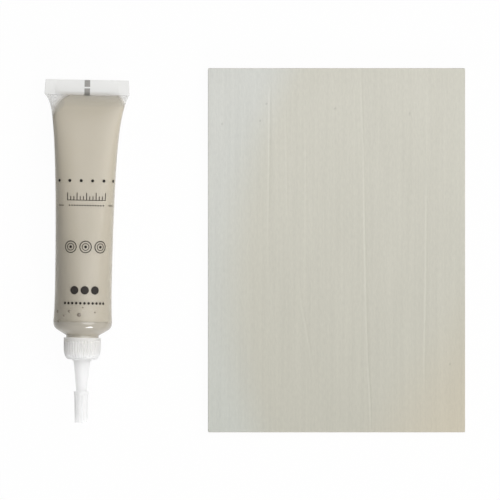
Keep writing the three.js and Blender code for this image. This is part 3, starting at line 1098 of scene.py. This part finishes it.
def sector(name, outline, count, columns, cut):
    """One of count equal sectors of a turned outline about the Y axis, with cut(radius, level, wave)."""
    points, faces = [], []
    rows = len(outline)
    for i in range(columns + 1):
        share = i / columns
        turn = math.tau / count * share
        wave = 0.5 - 0.5 * math.cos(math.tau * share)
        for p in outline:
            radius = p.x - cut(p.x, p.y, wave)
            points.append((radius * math.cos(turn), p.y, -radius * math.sin(turn)))
        for j in range(rows if i < columns else 0):
            here, above = i * rows + j, i * rows + (j + 1) % rows
            faces.append((here, here + rows, above + rows, above))
    mesh = bpy.data.meshes.new(name)
    mesh.from_pydata([Vector(point) * MM for point in points], [], faces)
    return mesh


repeat_tree, given = new_tree(
    "repeat_round_axis",
    {"Sector": "Geometry", "Count": "Int", "Place": "Vector", "Finish": "Material"},
)
stack = add(repeat_tree, "GeometryNodePoints", {"Count": given.outputs["Count"]})
index = add(repeat_tree, "GeometryNodeInputIndex")
step = add(repeat_tree, "ShaderNodeMath", {0: math.tau, 1: given.outputs["Count"]}, operation="DIVIDE")
turn = add(repeat_tree, "ShaderNodeMath", {0: index, 1: step}, operation="MULTIPLY")
spin = add(repeat_tree, "ShaderNodeCombineXYZ", {"Y": turn})
facing = add(repeat_tree, "FunctionNodeEulerToRotation", {0: spin})
copies = add(
    repeat_tree,
    "GeometryNodeInstanceOnPoints",
    {"Points": stack, "Instance": given.outputs["Sector"], "Rotation": facing},
)
real = add(repeat_tree, "GeometryNodeRealizeInstances", {"Geometry": copies})
joined = add(repeat_tree, "GeometryNodeMergeByDistance", {"Geometry": real, "Distance": SECTOR_GAP * MM})
placed = add(
    repeat_tree,
    "GeometryNodeTransform",
    {"Geometry": joined, "Translation": given.outputs["Place"]},
)
close_tree(repeat_tree, given, placed)

band_edge = collar_rim - COLLAR_BAND
band_rows = range(-BAND_STEPS, BAND_STEPS + 1)
collar_outline = rounded(
    [
        (collar_hole, collar_end, COLLAR_HOLE_ROUND),
        *curve(
            (COLLAR_END_RADIUS, collar_end),
            (collar_radius, collar_end + COLLAR_TAPER_KNEE),
            (collar_radius, collar_end + COLLAR_TAPER_LENGTH),
        ),
        *[(collar_radius, band_edge + BAND_BLEND * k / BAND_STEPS, 0.0) for k in band_rows],
        (collar_radius, collar_rim, COLLAR_RIM_ROUND),
        (collar_bore, collar_rim, COLLAR_BORE_ROUND),
        (collar_bore, collar_end + COLLAR_END_WALL, COLLAR_SEAT_ROUND),
        (collar_hole, collar_end + COLLAR_END_WALL, SEAT_EDGE_ROUND),
    ]
)


def rib_cut(radius, level, wave):
    """Depth of the groove between two ribs: none on the band, the end face or the inside."""
    outside = ramp(radius - collar_bore, *RIB_INSIDE) if level > collar_end + COLLAR_END_WALL else 1.0
    foot = ramp(level - collar_end, *RIB_FOOT)
    band = 1 - ramp(level, band_edge - BAND_BLEND, band_edge + BAND_BLEND)
    return RIB_DEPTH * wave**RIB_SHARPNESS * outside * foot * band


axis_place = (axis_x * MM, 0.0, axis_z * MM)
collar = grown(
    "ribbed_collar",
    sector("collar_sector", collar_outline, COLLAR_RIBS, RIB_COLUMNS, rib_cut),
    repeat_tree,
    {"Count": COLLAR_RIBS, "Place": axis_place, "Finish": white},
)
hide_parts("screw_collar")
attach(collar, "collar")


# Tip cap. A small white polypropylene thimble pushed over the spout to keep the paste from drying. Wide
# flutes run down its side from a plain ring at its mouth and out over its rounded end.
CAP_FLUTES = 10
FLUTE_COLUMNS = 18
FLUTE_DEPTH = 0.2
CAP_MOUTH_BAND = 0.9
CAP_MOUTH_STEP = 0.2
CAP_TAPER = 0.25
CAP_END_WALL = 1.3
CAP_END_ROUND = 0.47
CAP_ROWS = 24
CAP_SIDE_START = 0.05
CAP_END_RINGS = (0.4, 0.7)
CAP_STEP_ROUND = 0.1
CAP_MOUTH_ROUND = 0.18
CAP_BORE_ROUND = 0.1
CAP_SEAT_ROUND = 0.2
FLUTE_INSIDE = (0.1, 0.2)
FLUTE_SEAT_MARGIN = 0.2
FLUTE_END_RADIUS = 0.7
FLUTE_FULL_INSET = 0.3
FLUTE_FADE = 0.7

cap_low, cap_high = mm_box("tip_cap")
cap_end, cap_mouth = cap_low.y, cap_high.y
mouth_radius = (cap_high.x - cap_low.x) / 2
body_radius = mouth_radius - CAP_MOUTH_STEP
band_end = cap_mouth - CAP_MOUTH_BAND
cap_seat = cap_end + CAP_END_WALL
cap_side_end = cap_end + CAP_END_ROUND + CAP_SIDE_START


def cap_bore(level):
    """Radius of the cap's inside, which clears the spout by the same gap all along."""
    return spout_radius(level) + SPOUT_CLEARANCE


def cap_side(k):
    """A point down the cap's fluted side, from its rounded end to its mouth ring."""
    share = k / CAP_ROWS
    level = cap_side_end + (band_end - cap_side_end) * share
    return body_radius - CAP_TAPER * (1 - share), level, 0.0


cap_outline = rounded(
    [
        (0.0, cap_end, 0.0),
        *[((body_radius - CAP_TAPER - CAP_END_ROUND) * share, cap_end, 0.0) for share in CAP_END_RINGS],
        (body_radius - CAP_TAPER, cap_end, CAP_END_ROUND),
        *[cap_side(k) for k in range(CAP_ROWS + 1)],
        (mouth_radius, band_end, CAP_STEP_ROUND),
        (mouth_radius, cap_mouth, CAP_MOUTH_ROUND),
        (cap_bore(cap_mouth), cap_mouth, CAP_BORE_ROUND),
        (cap_bore(cap_seat), cap_seat, CAP_SEAT_ROUND),
        (0.0, cap_seat, 0.0),
    ]
)


def flute_cut(radius, level, wave):
    """Depth of a flute: none on the mouth ring or inside the bore."""
    hollow = level > cap_seat - FLUTE_SEAT_MARGIN
    outside = ramp(radius - cap_bore(level), *FLUTE_INSIDE) if hollow else 1.0
    reach = ramp(radius, FLUTE_END_RADIUS, body_radius - FLUTE_FULL_INSET)
    ring_fade = 1 - ramp(level, band_end - FLUTE_FADE, band_end)
    return FLUTE_DEPTH * wave * outside * reach * ring_fade


cap = grown(
    "fluted_tip_cap",
    sector("cap_sector", cap_outline, CAP_FLUTES, FLUTE_COLUMNS, flute_cut),
    repeat_tree,
    {"Count": CAP_FLUTES, "Place": axis_place, "Finish": white},
)
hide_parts("tip_cap")
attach(cap, "tip_cap")


# Sample board. A thin offcut of medium-density fibreboard, sawn square, with its brown fibres showing
# on the edges and the back.
BOARD_TURN = math.radians(1.065)
BOARD_WIDTH = 83.3
BOARD_LENGTH = 118.0
BOARD_CORNER = 0.5
BOARD_EASE = 0.25
CORNER_STEPS = 6

# Pressed wood fibre is a dull brown felt, specked and clouded, with no shine.
FIBRE_DARK = "#8f6f4a"
FIBRE_LIGHT = "#b8986c"
FIBRE_SPECK = 0.9
FIBRE_CLOUD = 12.0
FIBRE_SPAN = (0.7, 1.3)
FIBRE_DEPTH = 0.08

board_low, board_high = mm_box("sample_board")
board_middle = (board_low + board_high) / 2

fibre, tree = material("raw_fibreboard")
spot = add(tree, "ShaderNodeTexCoord")
speck = add(
    tree,
    "ShaderNodeTexNoise",
    {"Vector": spot.outputs["Object"], "Scale": 1 / (FIBRE_SPECK * MM), "Detail": 6.0, "Roughness": 0.7},
)
cloud = add(tree, "ShaderNodeTexNoise", {"Vector": spot.outputs["Object"], "Scale": 1 / (FIBRE_CLOUD * MM)})
mixed = add(tree, "ShaderNodeMath", {0: speck, 1: cloud}, operation="ADD")
tone = add(
    tree,
    "ShaderNodeMapRange",
    {"Value": mixed, "From Min": FIBRE_SPAN[0], "From Max": FIBRE_SPAN[1]},
)
hue = add(
    tree,
    "ShaderNodeMix",
    {"Factor": tone, "A": linear(FIBRE_DARK), "B": linear(FIBRE_LIGHT)},
    data_type="RGBA",
)
bump = add(tree, "ShaderNodeBump", {"Height": speck, "Strength": 0.5, "Distance": FIBRE_DEPTH * MM})
shader = add(
    tree,
    "ShaderNodeBsdfPrincipled",
    {"Base Color": hue.outputs["Result"], "Roughness": 0.88, "Normal": bump},
)
add(tree, "ShaderNodeOutputMaterial", {"Surface": shader})


def on_board(x, y, z):
    """A point of the board's own plan, turned and moved to where the board lies."""
    cosine, sine = math.cos(BOARD_TURN), math.sin(BOARD_TURN)
    return board_middle.x + x * cosine - y * sine, board_middle.y + x * sine + y * cosine, z


def plan_ring(level, inset):
    """A ring round the board's plan with rounded corners, drawn in by an inset."""
    points = []
    for quarter in range(4):
        for k in range(CORNER_STEPS + 1):
            turn = math.pi / 2 * (quarter + k / CORNER_STEPS)
            side_x = 1 if quarter in (0, 3) else -1
            side_y = 1 if quarter in (0, 1) else -1
            x = side_x * (BOARD_WIDTH / 2 - inset - BOARD_CORNER) + BOARD_CORNER * math.cos(turn)
            y = side_y * (BOARD_LENGTH / 2 - inset - BOARD_CORNER) + BOARD_CORNER * math.sin(turn)
            points.append(on_board(x, y, level))
    return points


rings = [
    plan_ring(board_low.z, BOARD_EASE),
    plan_ring(board_low.z + BOARD_EASE, 0.0),
    plan_ring(board_high.z, 0.0),
]
board = piece("fibreboard_sample", *loft(rings), fibre)
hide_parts("sample_board")
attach(board, "tube")


# Sample coat. The paste brushed over the board's face and dried to a satin film. The bristles leave a
# fine lengthwise grain, the edge of a stroke leaves a lap line, and a few bubbles have left pits.
COAT_COLUMNS = 400
COAT_ROWS = 236
GRAIN_WIDTH = 0.8
GRAIN_LENGTH = 7.0
GRAIN_DEPTH = 0.025
STROKE_WIDTH = 7.0
STROKE_LENGTH = 80.0
STROKE_DEPTH = 0.06
LAP_WIDTH = 0.55
LAP_DEPTH = 0.07
PIT_RADIUS = 0.5
PIT_DEPTH = 0.12
COAT_OVERHANG = 0.1
COAT_SETBACK = 0.03
# A lap is a path of (across, along, height) on the board's own plan, fainter the higher it runs over the
# film, and a pit is (across, along).
LAPS = [
    [(-21.3, 55.0, 0.5), (-21.6, 50.0, 0.0), (-21.9, 20.0, 0.2), (-22.2, 5.0, 0.3), (-22.4, -10.0, 0.5)],
    [(-16.6, 52.0, 0.5), (-16.4, 40.0, 0.3), (-16.0, 14.0, 0.3), (-15.6, 2.0, 0.5)],
    [(-10.3, 56.0, 0.5), (-10.0, 30.0, 0.32), (-9.9, 0.0, 0.35), (-10.4, -25.0, 0.5)],
    [(-12.4, -6.0, 0.5), (-11.2, -18.0, 0.2), (-9.0, -30.0, 0.15), (-6.9, -42.0, 0.5)],
    [(7.8, 58.6, 0.3), (8.3, 47.0, 0.2), (8.8, 30.0, 0.25), (9.1, 8.0, 0.0), (9.7, -22.0, 0.0)],
    [(9.7, -22.0, 0.0), (10.1, -34.0, 0.1), (10.9, -48.0, 0.05), (11.2, -58.6, 0.3)],
    [(29.4, 26.0, 0.5), (29.1, 12.0, 0.2), (29.0, -10.0, 0.1), (28.5, -35.0, 0.15), (28.6, -52.0, 0.5)],
    [(28.9, 56.0, 0.5), (29.3, 40.0, 0.36), (29.4, 26.0, 0.4)],
]
PITS = [(-37.1, 40.8), (-24.8, 41.9), (-22.7, 47.4), (-0.5, 45.8), (23.6, 44.2), (36.7, -36.9)]

coat_low, coat_high = mm_box("sample_coat")

# A dried acrylic film is satin, with a grain of pale and dark hairlines. Painted light tints it: painted cool
# light at the left, painted shade darkening it towards the foot, and a painted warm reflection in one corner.
COAT_COLOUR = "#d4d2c6"
# Painted cool light at the left of the coat: its colours, and the edge, fade, bow and middle of its patch.
COAT_PAINTED_COOL_LIGHT = "#d7d8d2"
COAT_PAINTED_COOL_LIGHT_FOOT = "#c9cbc3"
PAINTED_COOL_EDGE = -0.41
PAINTED_COOL_FADE = 0.1
PAINTED_COOL_BOW = 0.61
PAINTED_COOL_MIDDLE = -0.1
# Painted shade towards the coat's foot: its colour and the span it fades over.
COAT_FOOT_PAINTED_SHADE = "#c5c3b6"
FOOT_SHADE_SPAN = (0.4, -0.5)
# Painted warm reflection in the corner at the right foot: its colour, span and share.
COAT_PAINTED_WARM_REFLECTION = "#cec5b0"
WARM_REFLECTION_SPAN = (0.5, 1.0)
WARM_REFLECTION_SHARE = 0.75
HAIRLINE = (0.5, 1.8)
STREAK = (1.1, 60.0)
CLOUD = (12.0, 35.0)
STREAK_SHARE = 0.7
CLOUD_SHARE = 0.4
UNEVEN_SPAN = (0.65, 1.45)
LIGHT_SPAN = (0.92, 1.055)
GLOSS_FROM = (0.3, 0.7)
GLOSS_SPAN = (0.45, 0.6)
HAIRLINE_DEPTH = 0.02
# Lap lines are lighter: partly paste lying thicker and paler, partly a painted highlight on the ridge.
LAP_PALE_AND_HIGHLIGHT = 0.045
# Pits are painted darker: painted shade in their hollows.
PIT_PAINTED_SHADE = 0.24

satin, tree = material("brushed_dry_acrylic_paste")
spot = add(tree, "ShaderNodeTexCoord")
plan = add(
    tree,
    "ShaderNodeMapping",
    {
        "Vector": spot.outputs["Object"],
        "Location": (board_middle.x * MM, board_middle.y * MM, 0.0),
        "Rotation": (0.0, 0.0, BOARD_TURN),
        "Scale": (BOARD_WIDTH * MM, BOARD_LENGTH * MM, MM),
    },
    vector_type="TEXTURE",
)
place = add(tree, "ShaderNodeSeparateXYZ", {0: plan})
# Painted shade: the coat darkens towards its foot.
down = add(
    tree,
    "ShaderNodeMapRange",
    {"Value": place.outputs["Y"], "From Min": FOOT_SHADE_SPAN[0], "From Max": FOOT_SHADE_SPAN[1]},
)
foot = add(
    tree,
    "ShaderNodeMix",
    {"Factor": down, "A": linear(COAT_COLOUR), "B": linear(COAT_FOOT_PAINTED_SHADE)},
    data_type="RGBA",
)
# Painted cool light: a bowed patch at the left turns the coat cooler, also painted darker towards the foot.
cool_light_shaded_foot = add(
    tree,
    "ShaderNodeMix",
    {"Factor": down, "A": linear(COAT_PAINTED_COOL_LIGHT), "B": linear(COAT_PAINTED_COOL_LIGHT_FOOT)},
    data_type="RGBA",
)
height = add(tree, "ShaderNodeMath", {0: place.outputs["Y"], 1: PAINTED_COOL_MIDDLE}, operation="SUBTRACT")
squared = add(tree, "ShaderNodeMath", {0: height, 1: height}, operation="MULTIPLY")
bowed = add(
    tree,
    "ShaderNodeMath",
    {0: squared, 1: -PAINTED_COOL_BOW, 2: place.outputs["X"]},
    operation="MULTIPLY_ADD",
)
cool_light_share = add(
    tree,
    "ShaderNodeMapRange",
    {"Value": bowed, "From Min": PAINTED_COOL_EDGE + PAINTED_COOL_FADE, "From Max": PAINTED_COOL_EDGE - PAINTED_COOL_FADE},
    interpolation_type="SMOOTHSTEP",
)
cool_lit = add(
    tree,
    "ShaderNodeMix",
    {"Factor": cool_light_share, "A": foot.outputs["Result"], "B": cool_light_shaded_foot.outputs["Result"]},
    data_type="RGBA",
)
# Painted warm reflection: the corner at the right foot turns warmer.
diagonal = add(tree, "ShaderNodeMath", {0: place.outputs["X"], 1: place.outputs["Y"]}, operation="SUBTRACT")
warm_reflection_share = add(
    tree,
    "ShaderNodeMapRange",
    {
        "Value": diagonal,
        "From Min": WARM_REFLECTION_SPAN[0],
        "From Max": WARM_REFLECTION_SPAN[1],
        "To Max": WARM_REFLECTION_SHARE,
    },
    interpolation_type="SMOOTHSTEP",
)
warm_reflected = add(
    tree,
    "ShaderNodeMix",
    {"Factor": warm_reflection_share, "A": cool_lit.outputs["Result"], "B": linear(COAT_PAINTED_WARM_REFLECTION)},
    data_type="RGBA",
)
patterns = []
for across, along in (HAIRLINE, STREAK, CLOUD):
    stretch = (BOARD_WIDTH / across, BOARD_LENGTH / along, 0.0)
    stretched = add(tree, "ShaderNodeVectorMath", {0: plan, 1: stretch}, operation="MULTIPLY")
    patterns.append(
        add(tree, "ShaderNodeTexNoise", {"Vector": stretched, "Scale": 1.0, "Detail": 4.0, "Distortion": 0.3})
    )
hair, streak, cloud = patterns
uneven = add(tree, "ShaderNodeMath", {0: streak, 1: STREAK_SHARE, 2: hair}, operation="MULTIPLY_ADD")
uneven = add(tree, "ShaderNodeMath", {0: cloud, 1: CLOUD_SHARE, 2: uneven}, operation="MULTIPLY_ADD")
light = add(
    tree,
    "ShaderNodeMapRange",
    {
        "Value": uneven,
        "From Min": UNEVEN_SPAN[0],
        "From Max": UNEVEN_SPAN[1],
        "To Min": LIGHT_SPAN[0],
        "To Max": LIGHT_SPAN[1],
    },
)
lap = add(tree, "ShaderNodeAttribute", attribute_name="lap")
pit = add(tree, "ShaderNodeAttribute", attribute_name="pit")
# Lap lines are painted lighter, partly paler paste and partly a painted highlight on the ridge.
lit = add(tree, "ShaderNodeMath", {0: lap.outputs["Fac"], 1: LAP_PALE_AND_HIGHLIGHT, 2: light}, operation="MULTIPLY_ADD")
# Pits are painted darker, a painted shade in hollows too small for the film to shade.
lit = add(tree, "ShaderNodeMath", {0: pit.outputs["Fac"], 1: -PIT_PAINTED_SHADE, 2: lit}, operation="MULTIPLY_ADD")
hue = add(tree, "ShaderNodeHueSaturation", {"Value": lit, "Color": warm_reflected.outputs["Result"]})
gloss = add(
    tree,
    "ShaderNodeMapRange",
    {
        "Value": hair,
        "From Min": GLOSS_FROM[0],
        "From Max": GLOSS_FROM[1],
        "To Min": GLOSS_SPAN[0],
        "To Max": GLOSS_SPAN[1],
    },
)
bump = add(tree, "ShaderNodeBump", {"Height": hair, "Strength": 0.4, "Distance": HAIRLINE_DEPTH * MM})
shader = add(
    tree,
    "ShaderNodeBsdfPrincipled",
    {"Base Color": hue, "Roughness": gloss, "Specular IOR Level": 0.3, "Normal": bump},
)
add(tree, "ShaderNodeOutputMaterial", {"Surface": shader})

coat_tree, given = new_tree(
    "brushed_film",
    {
        "Marks": "Geometry",
        "Width": "Float",
        "Length": "Float",
        "Level": "Float",
        "Grain width": "Float",
        "Grain length": "Float",
        "Grain depth": "Float",
        "Stroke width": "Float",
        "Stroke length": "Float",
        "Stroke depth": "Float",
        "Lap width": "Float",
        "Lap depth": "Float",
        "Pit width": "Float",
        "Pit depth": "Float",
        "Finish": "Material",
    },
)
sheet = add(
    coat_tree,
    "GeometryNodeMeshGrid",
    {
        "Size X": given.outputs["Width"],
        "Size Y": given.outputs["Length"],
        "Vertices X": COAT_COLUMNS + 1,
        "Vertices Y": COAT_ROWS + 1,
    },
)
position = add(coat_tree, "GeometryNodeInputPosition")
sunk = given.outputs["Level"]
for label in ("Grain", "Stroke"):
    pattern = add(
        coat_tree,
        "ShaderNodeCombineXYZ",
        {"X": given.outputs[f"{label} width"], "Y": given.outputs[f"{label} length"], "Z": 1.0},
    )
    scaled = add(coat_tree, "ShaderNodeVectorMath", {0: position, 1: pattern}, operation="DIVIDE")
    relief = add(
        coat_tree,
        "ShaderNodeTexNoise",
        {"Vector": scaled, "Scale": 1.0, "Detail": 2.0, "Roughness": 0.55, "Distortion": 0.3},
    )
    drop = add(
        coat_tree,
        "ShaderNodeMath",
        {0: relief, 1: given.outputs[f"{label} depth"]},
        operation="MULTIPLY",
    )
    sunk = add(coat_tree, "ShaderNodeMath", {0: sunk, 1: drop}, operation="SUBTRACT")
film = sheet.outputs["Mesh"]
is_pit = add(coat_tree, "GeometryNodeInputNamedAttribute", {"Name": "is_pit"}, data_type="BOOLEAN")
parted = add(
    coat_tree,
    "GeometryNodeSeparateGeometry",
    {"Geometry": given.outputs["Marks"], "Selection": is_pit},
)
for label, lines, element in (("Lap", 1, "EDGES"), ("Pit", 0, "POINTS")):
    nearest = add(
        coat_tree,
        "GeometryNodeProximity",
        {"Target": parted.outputs[lines]},
        target_element=element,
    )
    share = add(
        coat_tree,
        "ShaderNodeMapRange",
        {
            "Value": nearest.outputs["Distance"],
            "From Max": given.outputs[f"{label} width"],
            "To Min": 1.0,
            "To Max": 0.0,
        },
        interpolation_type="SMOOTHSTEP",
    )
    film = add(
        coat_tree,
        "GeometryNodeStoreNamedAttribute",
        {"Geometry": film, "Name": label.lower(), "Value": share},
    )
    drop = add(
        coat_tree,
        "ShaderNodeMath",
        {0: share, 1: given.outputs[f"{label} depth"]},
        operation="MULTIPLY",
    )
    sunk = add(coat_tree, "ShaderNodeMath", {0: sunk, 1: drop}, operation="SUBTRACT")
offset = add(coat_tree, "ShaderNodeCombineXYZ", {"Z": sunk})
shaped = add(coat_tree, "GeometryNodeSetPosition", {"Geometry": film, "Offset": offset})
close_tree(coat_tree, given, shaped)

mark_places, lap_edges = [], []
for path in LAPS:
    lap_edges += [(len(mark_places) + i, len(mark_places) + i + 1) for i in range(len(path) - 1)]
    mark_places += path
lap_count = len(mark_places)
mark_places += [(x, y, 0.0) for x, y in PITS]
marks_mesh = bpy.data.meshes.new("laps_and_pits")
marks_mesh.from_pydata([Vector(place) * MM for place in mark_places], lap_edges, [])
pit_flags = marks_mesh.attributes.new("is_pit", "BOOLEAN", "POINT")
for i in range(lap_count, len(mark_places)):
    pit_flags.data[i].value = True
coat = grown(
    "brushed_coat",
    marks_mesh,
    coat_tree,
    {
        "Width": (BOARD_WIDTH - 2 * COAT_OVERHANG) * MM,
        "Length": (BOARD_LENGTH - 2 * COAT_OVERHANG) * MM,
        "Level": coat_high.z * MM,
        "Grain width": GRAIN_WIDTH * MM,
        "Grain length": GRAIN_LENGTH * MM,
        "Grain depth": GRAIN_DEPTH * MM,
        "Stroke width": STROKE_WIDTH * MM,
        "Stroke length": STROKE_LENGTH * MM,
        "Stroke depth": STROKE_DEPTH * MM,
        "Lap width": LAP_WIDTH * MM,
        "Lap depth": LAP_DEPTH * MM,
        "Pit width": PIT_RADIUS * MM,
        "Pit depth": PIT_DEPTH * MM,
        "Finish": satin,
    },
)

# The film rolls over the board's edge and is closed underneath, and then it is laid on the board.
form = bmesh.new()
form.from_mesh(coat.data)
coat_sides = [(size / 2 - COAT_SETBACK) * MM for size in (BOARD_WIDTH, BOARD_LENGTH)]
for level in (coat_high.z - 2 * COAT_OVERHANG, coat_low.z):
    rim_edges = [edge for edge in form.edges if edge.is_boundary]
    made = bmesh.ops.extrude_edge_only(form, edges=rim_edges)["geom"]
    for vert in (each for each in made if isinstance(each, bmesh.types.BMVert)):
        for way, side in enumerate(coat_sides):
            if abs(vert.co[way]) > side - COAT_OVERHANG * MM:
                vert.co[way] = math.copysign(side, vert.co[way])
        vert.co.z = level * MM
bmesh.ops.contextual_create(form, geom=[edge for edge in form.edges if edge.is_boundary])
for vert in form.verts:
    vert.co = Vector(on_board(*(vert.co / MM))) * MM
bmesh.ops.recalc_face_normals(form, faces=form.faces)
form.to_mesh(coat.data)
form.free()
coat.data.shade_smooth()
coat.data.set_sharp_from_angle(angle=CREASE)
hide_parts("sample_coat")
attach(coat, "tube")


# Floor and light. A pale sweep that the eye sees as white but that keeps a faint shadow, a large soft
# lamp on the right, a small bright one beyond the spout and an even sky.
FLOOR_SIZE = 6.0
FLOOR_DROP = 0.0003
FLOOR_SHOW = 0.97
PAPER_COLOUR = "#f2f2f1"
LAMP_COLOUR = "#ffffff"
SKY_STRENGTH = 0.1


def to_the_eye(tree):
    """1 for a ray to the eye, also by a reflection or through a clear wall, and 0 for other light."""
    ray = add(tree, "ShaderNodeLightPath").outputs
    direct = add(
        tree,
        "ShaderNodeMath",
        {0: ray["Is Camera Ray"], 1: ray["Is Glossy Ray"]},
        operation="MAXIMUM",
    )
    return add(tree, "ShaderNodeMath", {0: direct, 1: ray["Is Transmission Ray"]}, operation="MAXIMUM")


pale, tree = material("pale_paper_sweep")
share = add(tree, "ShaderNodeMath", {0: to_the_eye(tree), 1: FLOOR_SHOW}, operation="MULTIPLY")
paper = add(tree, "ShaderNodeBsdfDiffuse", {"Color": linear(PAPER_COLOUR)})
glow = add(tree, "ShaderNodeEmission", {"Color": (1.0, 1.0, 1.0, 1.0), "Strength": 1.0})
both = add(tree, "ShaderNodeMixShader", {0: share, 1: paper, 2: glow})
add(tree, "ShaderNodeOutputMaterial", {"Surface": both})

half = FLOOR_SIZE / 2
floor_mesh = bpy.data.meshes.new("floor")
corners = [(x, y, -FLOOR_DROP) for x, y in ((-half, -half), (half, -half), (half, half), (-half, half))]
floor_mesh.from_pydata(corners, [], [(0, 1, 2, 3)])
floor_mesh.materials.append(pale)
floor = bpy.data.objects.new("floor", floor_mesh)
bpy.context.scene.collection.objects.link(floor)

sky = bpy.data.worlds.new("even_sky")
sky.use_nodes = True
tree = sky.node_tree
tree.nodes.clear()
strength = add(
    tree,
    "ShaderNodeMapRange",
    {"Value": to_the_eye(tree), "To Min": SKY_STRENGTH, "To Max": 1.0},
)
air_light = add(tree, "ShaderNodeBackground", {"Color": (1.0, 1.0, 1.0, 1.0), "Strength": strength})
add(tree, "ShaderNodeOutputWorld", {"Surface": air_light})
bpy.context.scene.world = sky


def lamp(name, place, size, power):
    light = bpy.data.lights.new(name, "AREA")
    light.shape = "DISK"
    light.size = size
    light.energy = power
    light.color = linear(LAMP_COLOUR)[:3]
    made = bpy.data.objects.new(name, light)
    made.location = place
    made.rotation_euler = (-Vector(place)).to_track_quat("-Z", "Y").to_euler()
    bpy.context.scene.collection.objects.link(made)


lamp("soft_key", place=(0.72, 0.32, 1.7), size=2.2, power=32.0)
lamp("low_front", place=(0.68, -1.69, 0.9), size=0.8, power=18.0)


# Camera.
PICTURE_SIDE = 500
PICTURE_SCALE = 0.3236
BOARD_SEEN_AT = (336.65, 250.25)
CAMERA_HEIGHT = 4000.0
SENSOR = 36.0
SIGHT_END = 100.0

seen_x = (BOARD_SEEN_AT[0] - PICTURE_SIDE / 2) * PICTURE_SCALE
seen_y = (PICTURE_SIDE / 2 - BOARD_SEEN_AT[1]) * PICTURE_SCALE
cosine, sine = math.cos(BOARD_TURN), math.sin(BOARD_TURN)
view_x = board_middle.x - seen_x * cosine + seen_y * sine
view_y = board_middle.y - seen_x * sine - seen_y * cosine

camera_data = bpy.data.cameras.new("camera")
camera_data.sensor_width = SENSOR
camera_data.lens = SENSOR * (CAMERA_HEIGHT - axis_z) / (PICTURE_SIDE * PICTURE_SCALE)
camera_data.clip_end = SIGHT_END
camera = bpy.data.objects.new("camera", camera_data)
camera.location = (view_x * MM, view_y * MM, CAMERA_HEIGHT * MM)
camera.rotation_euler = (0.0, 0.0, BOARD_TURN)
bpy.context.scene.collection.objects.link(camera)
bpy.context.scene.camera = camera
bpy.context.scene.view_settings.view_transform = "Standard"
bpy.context.scene.cycles.use_denoising = True
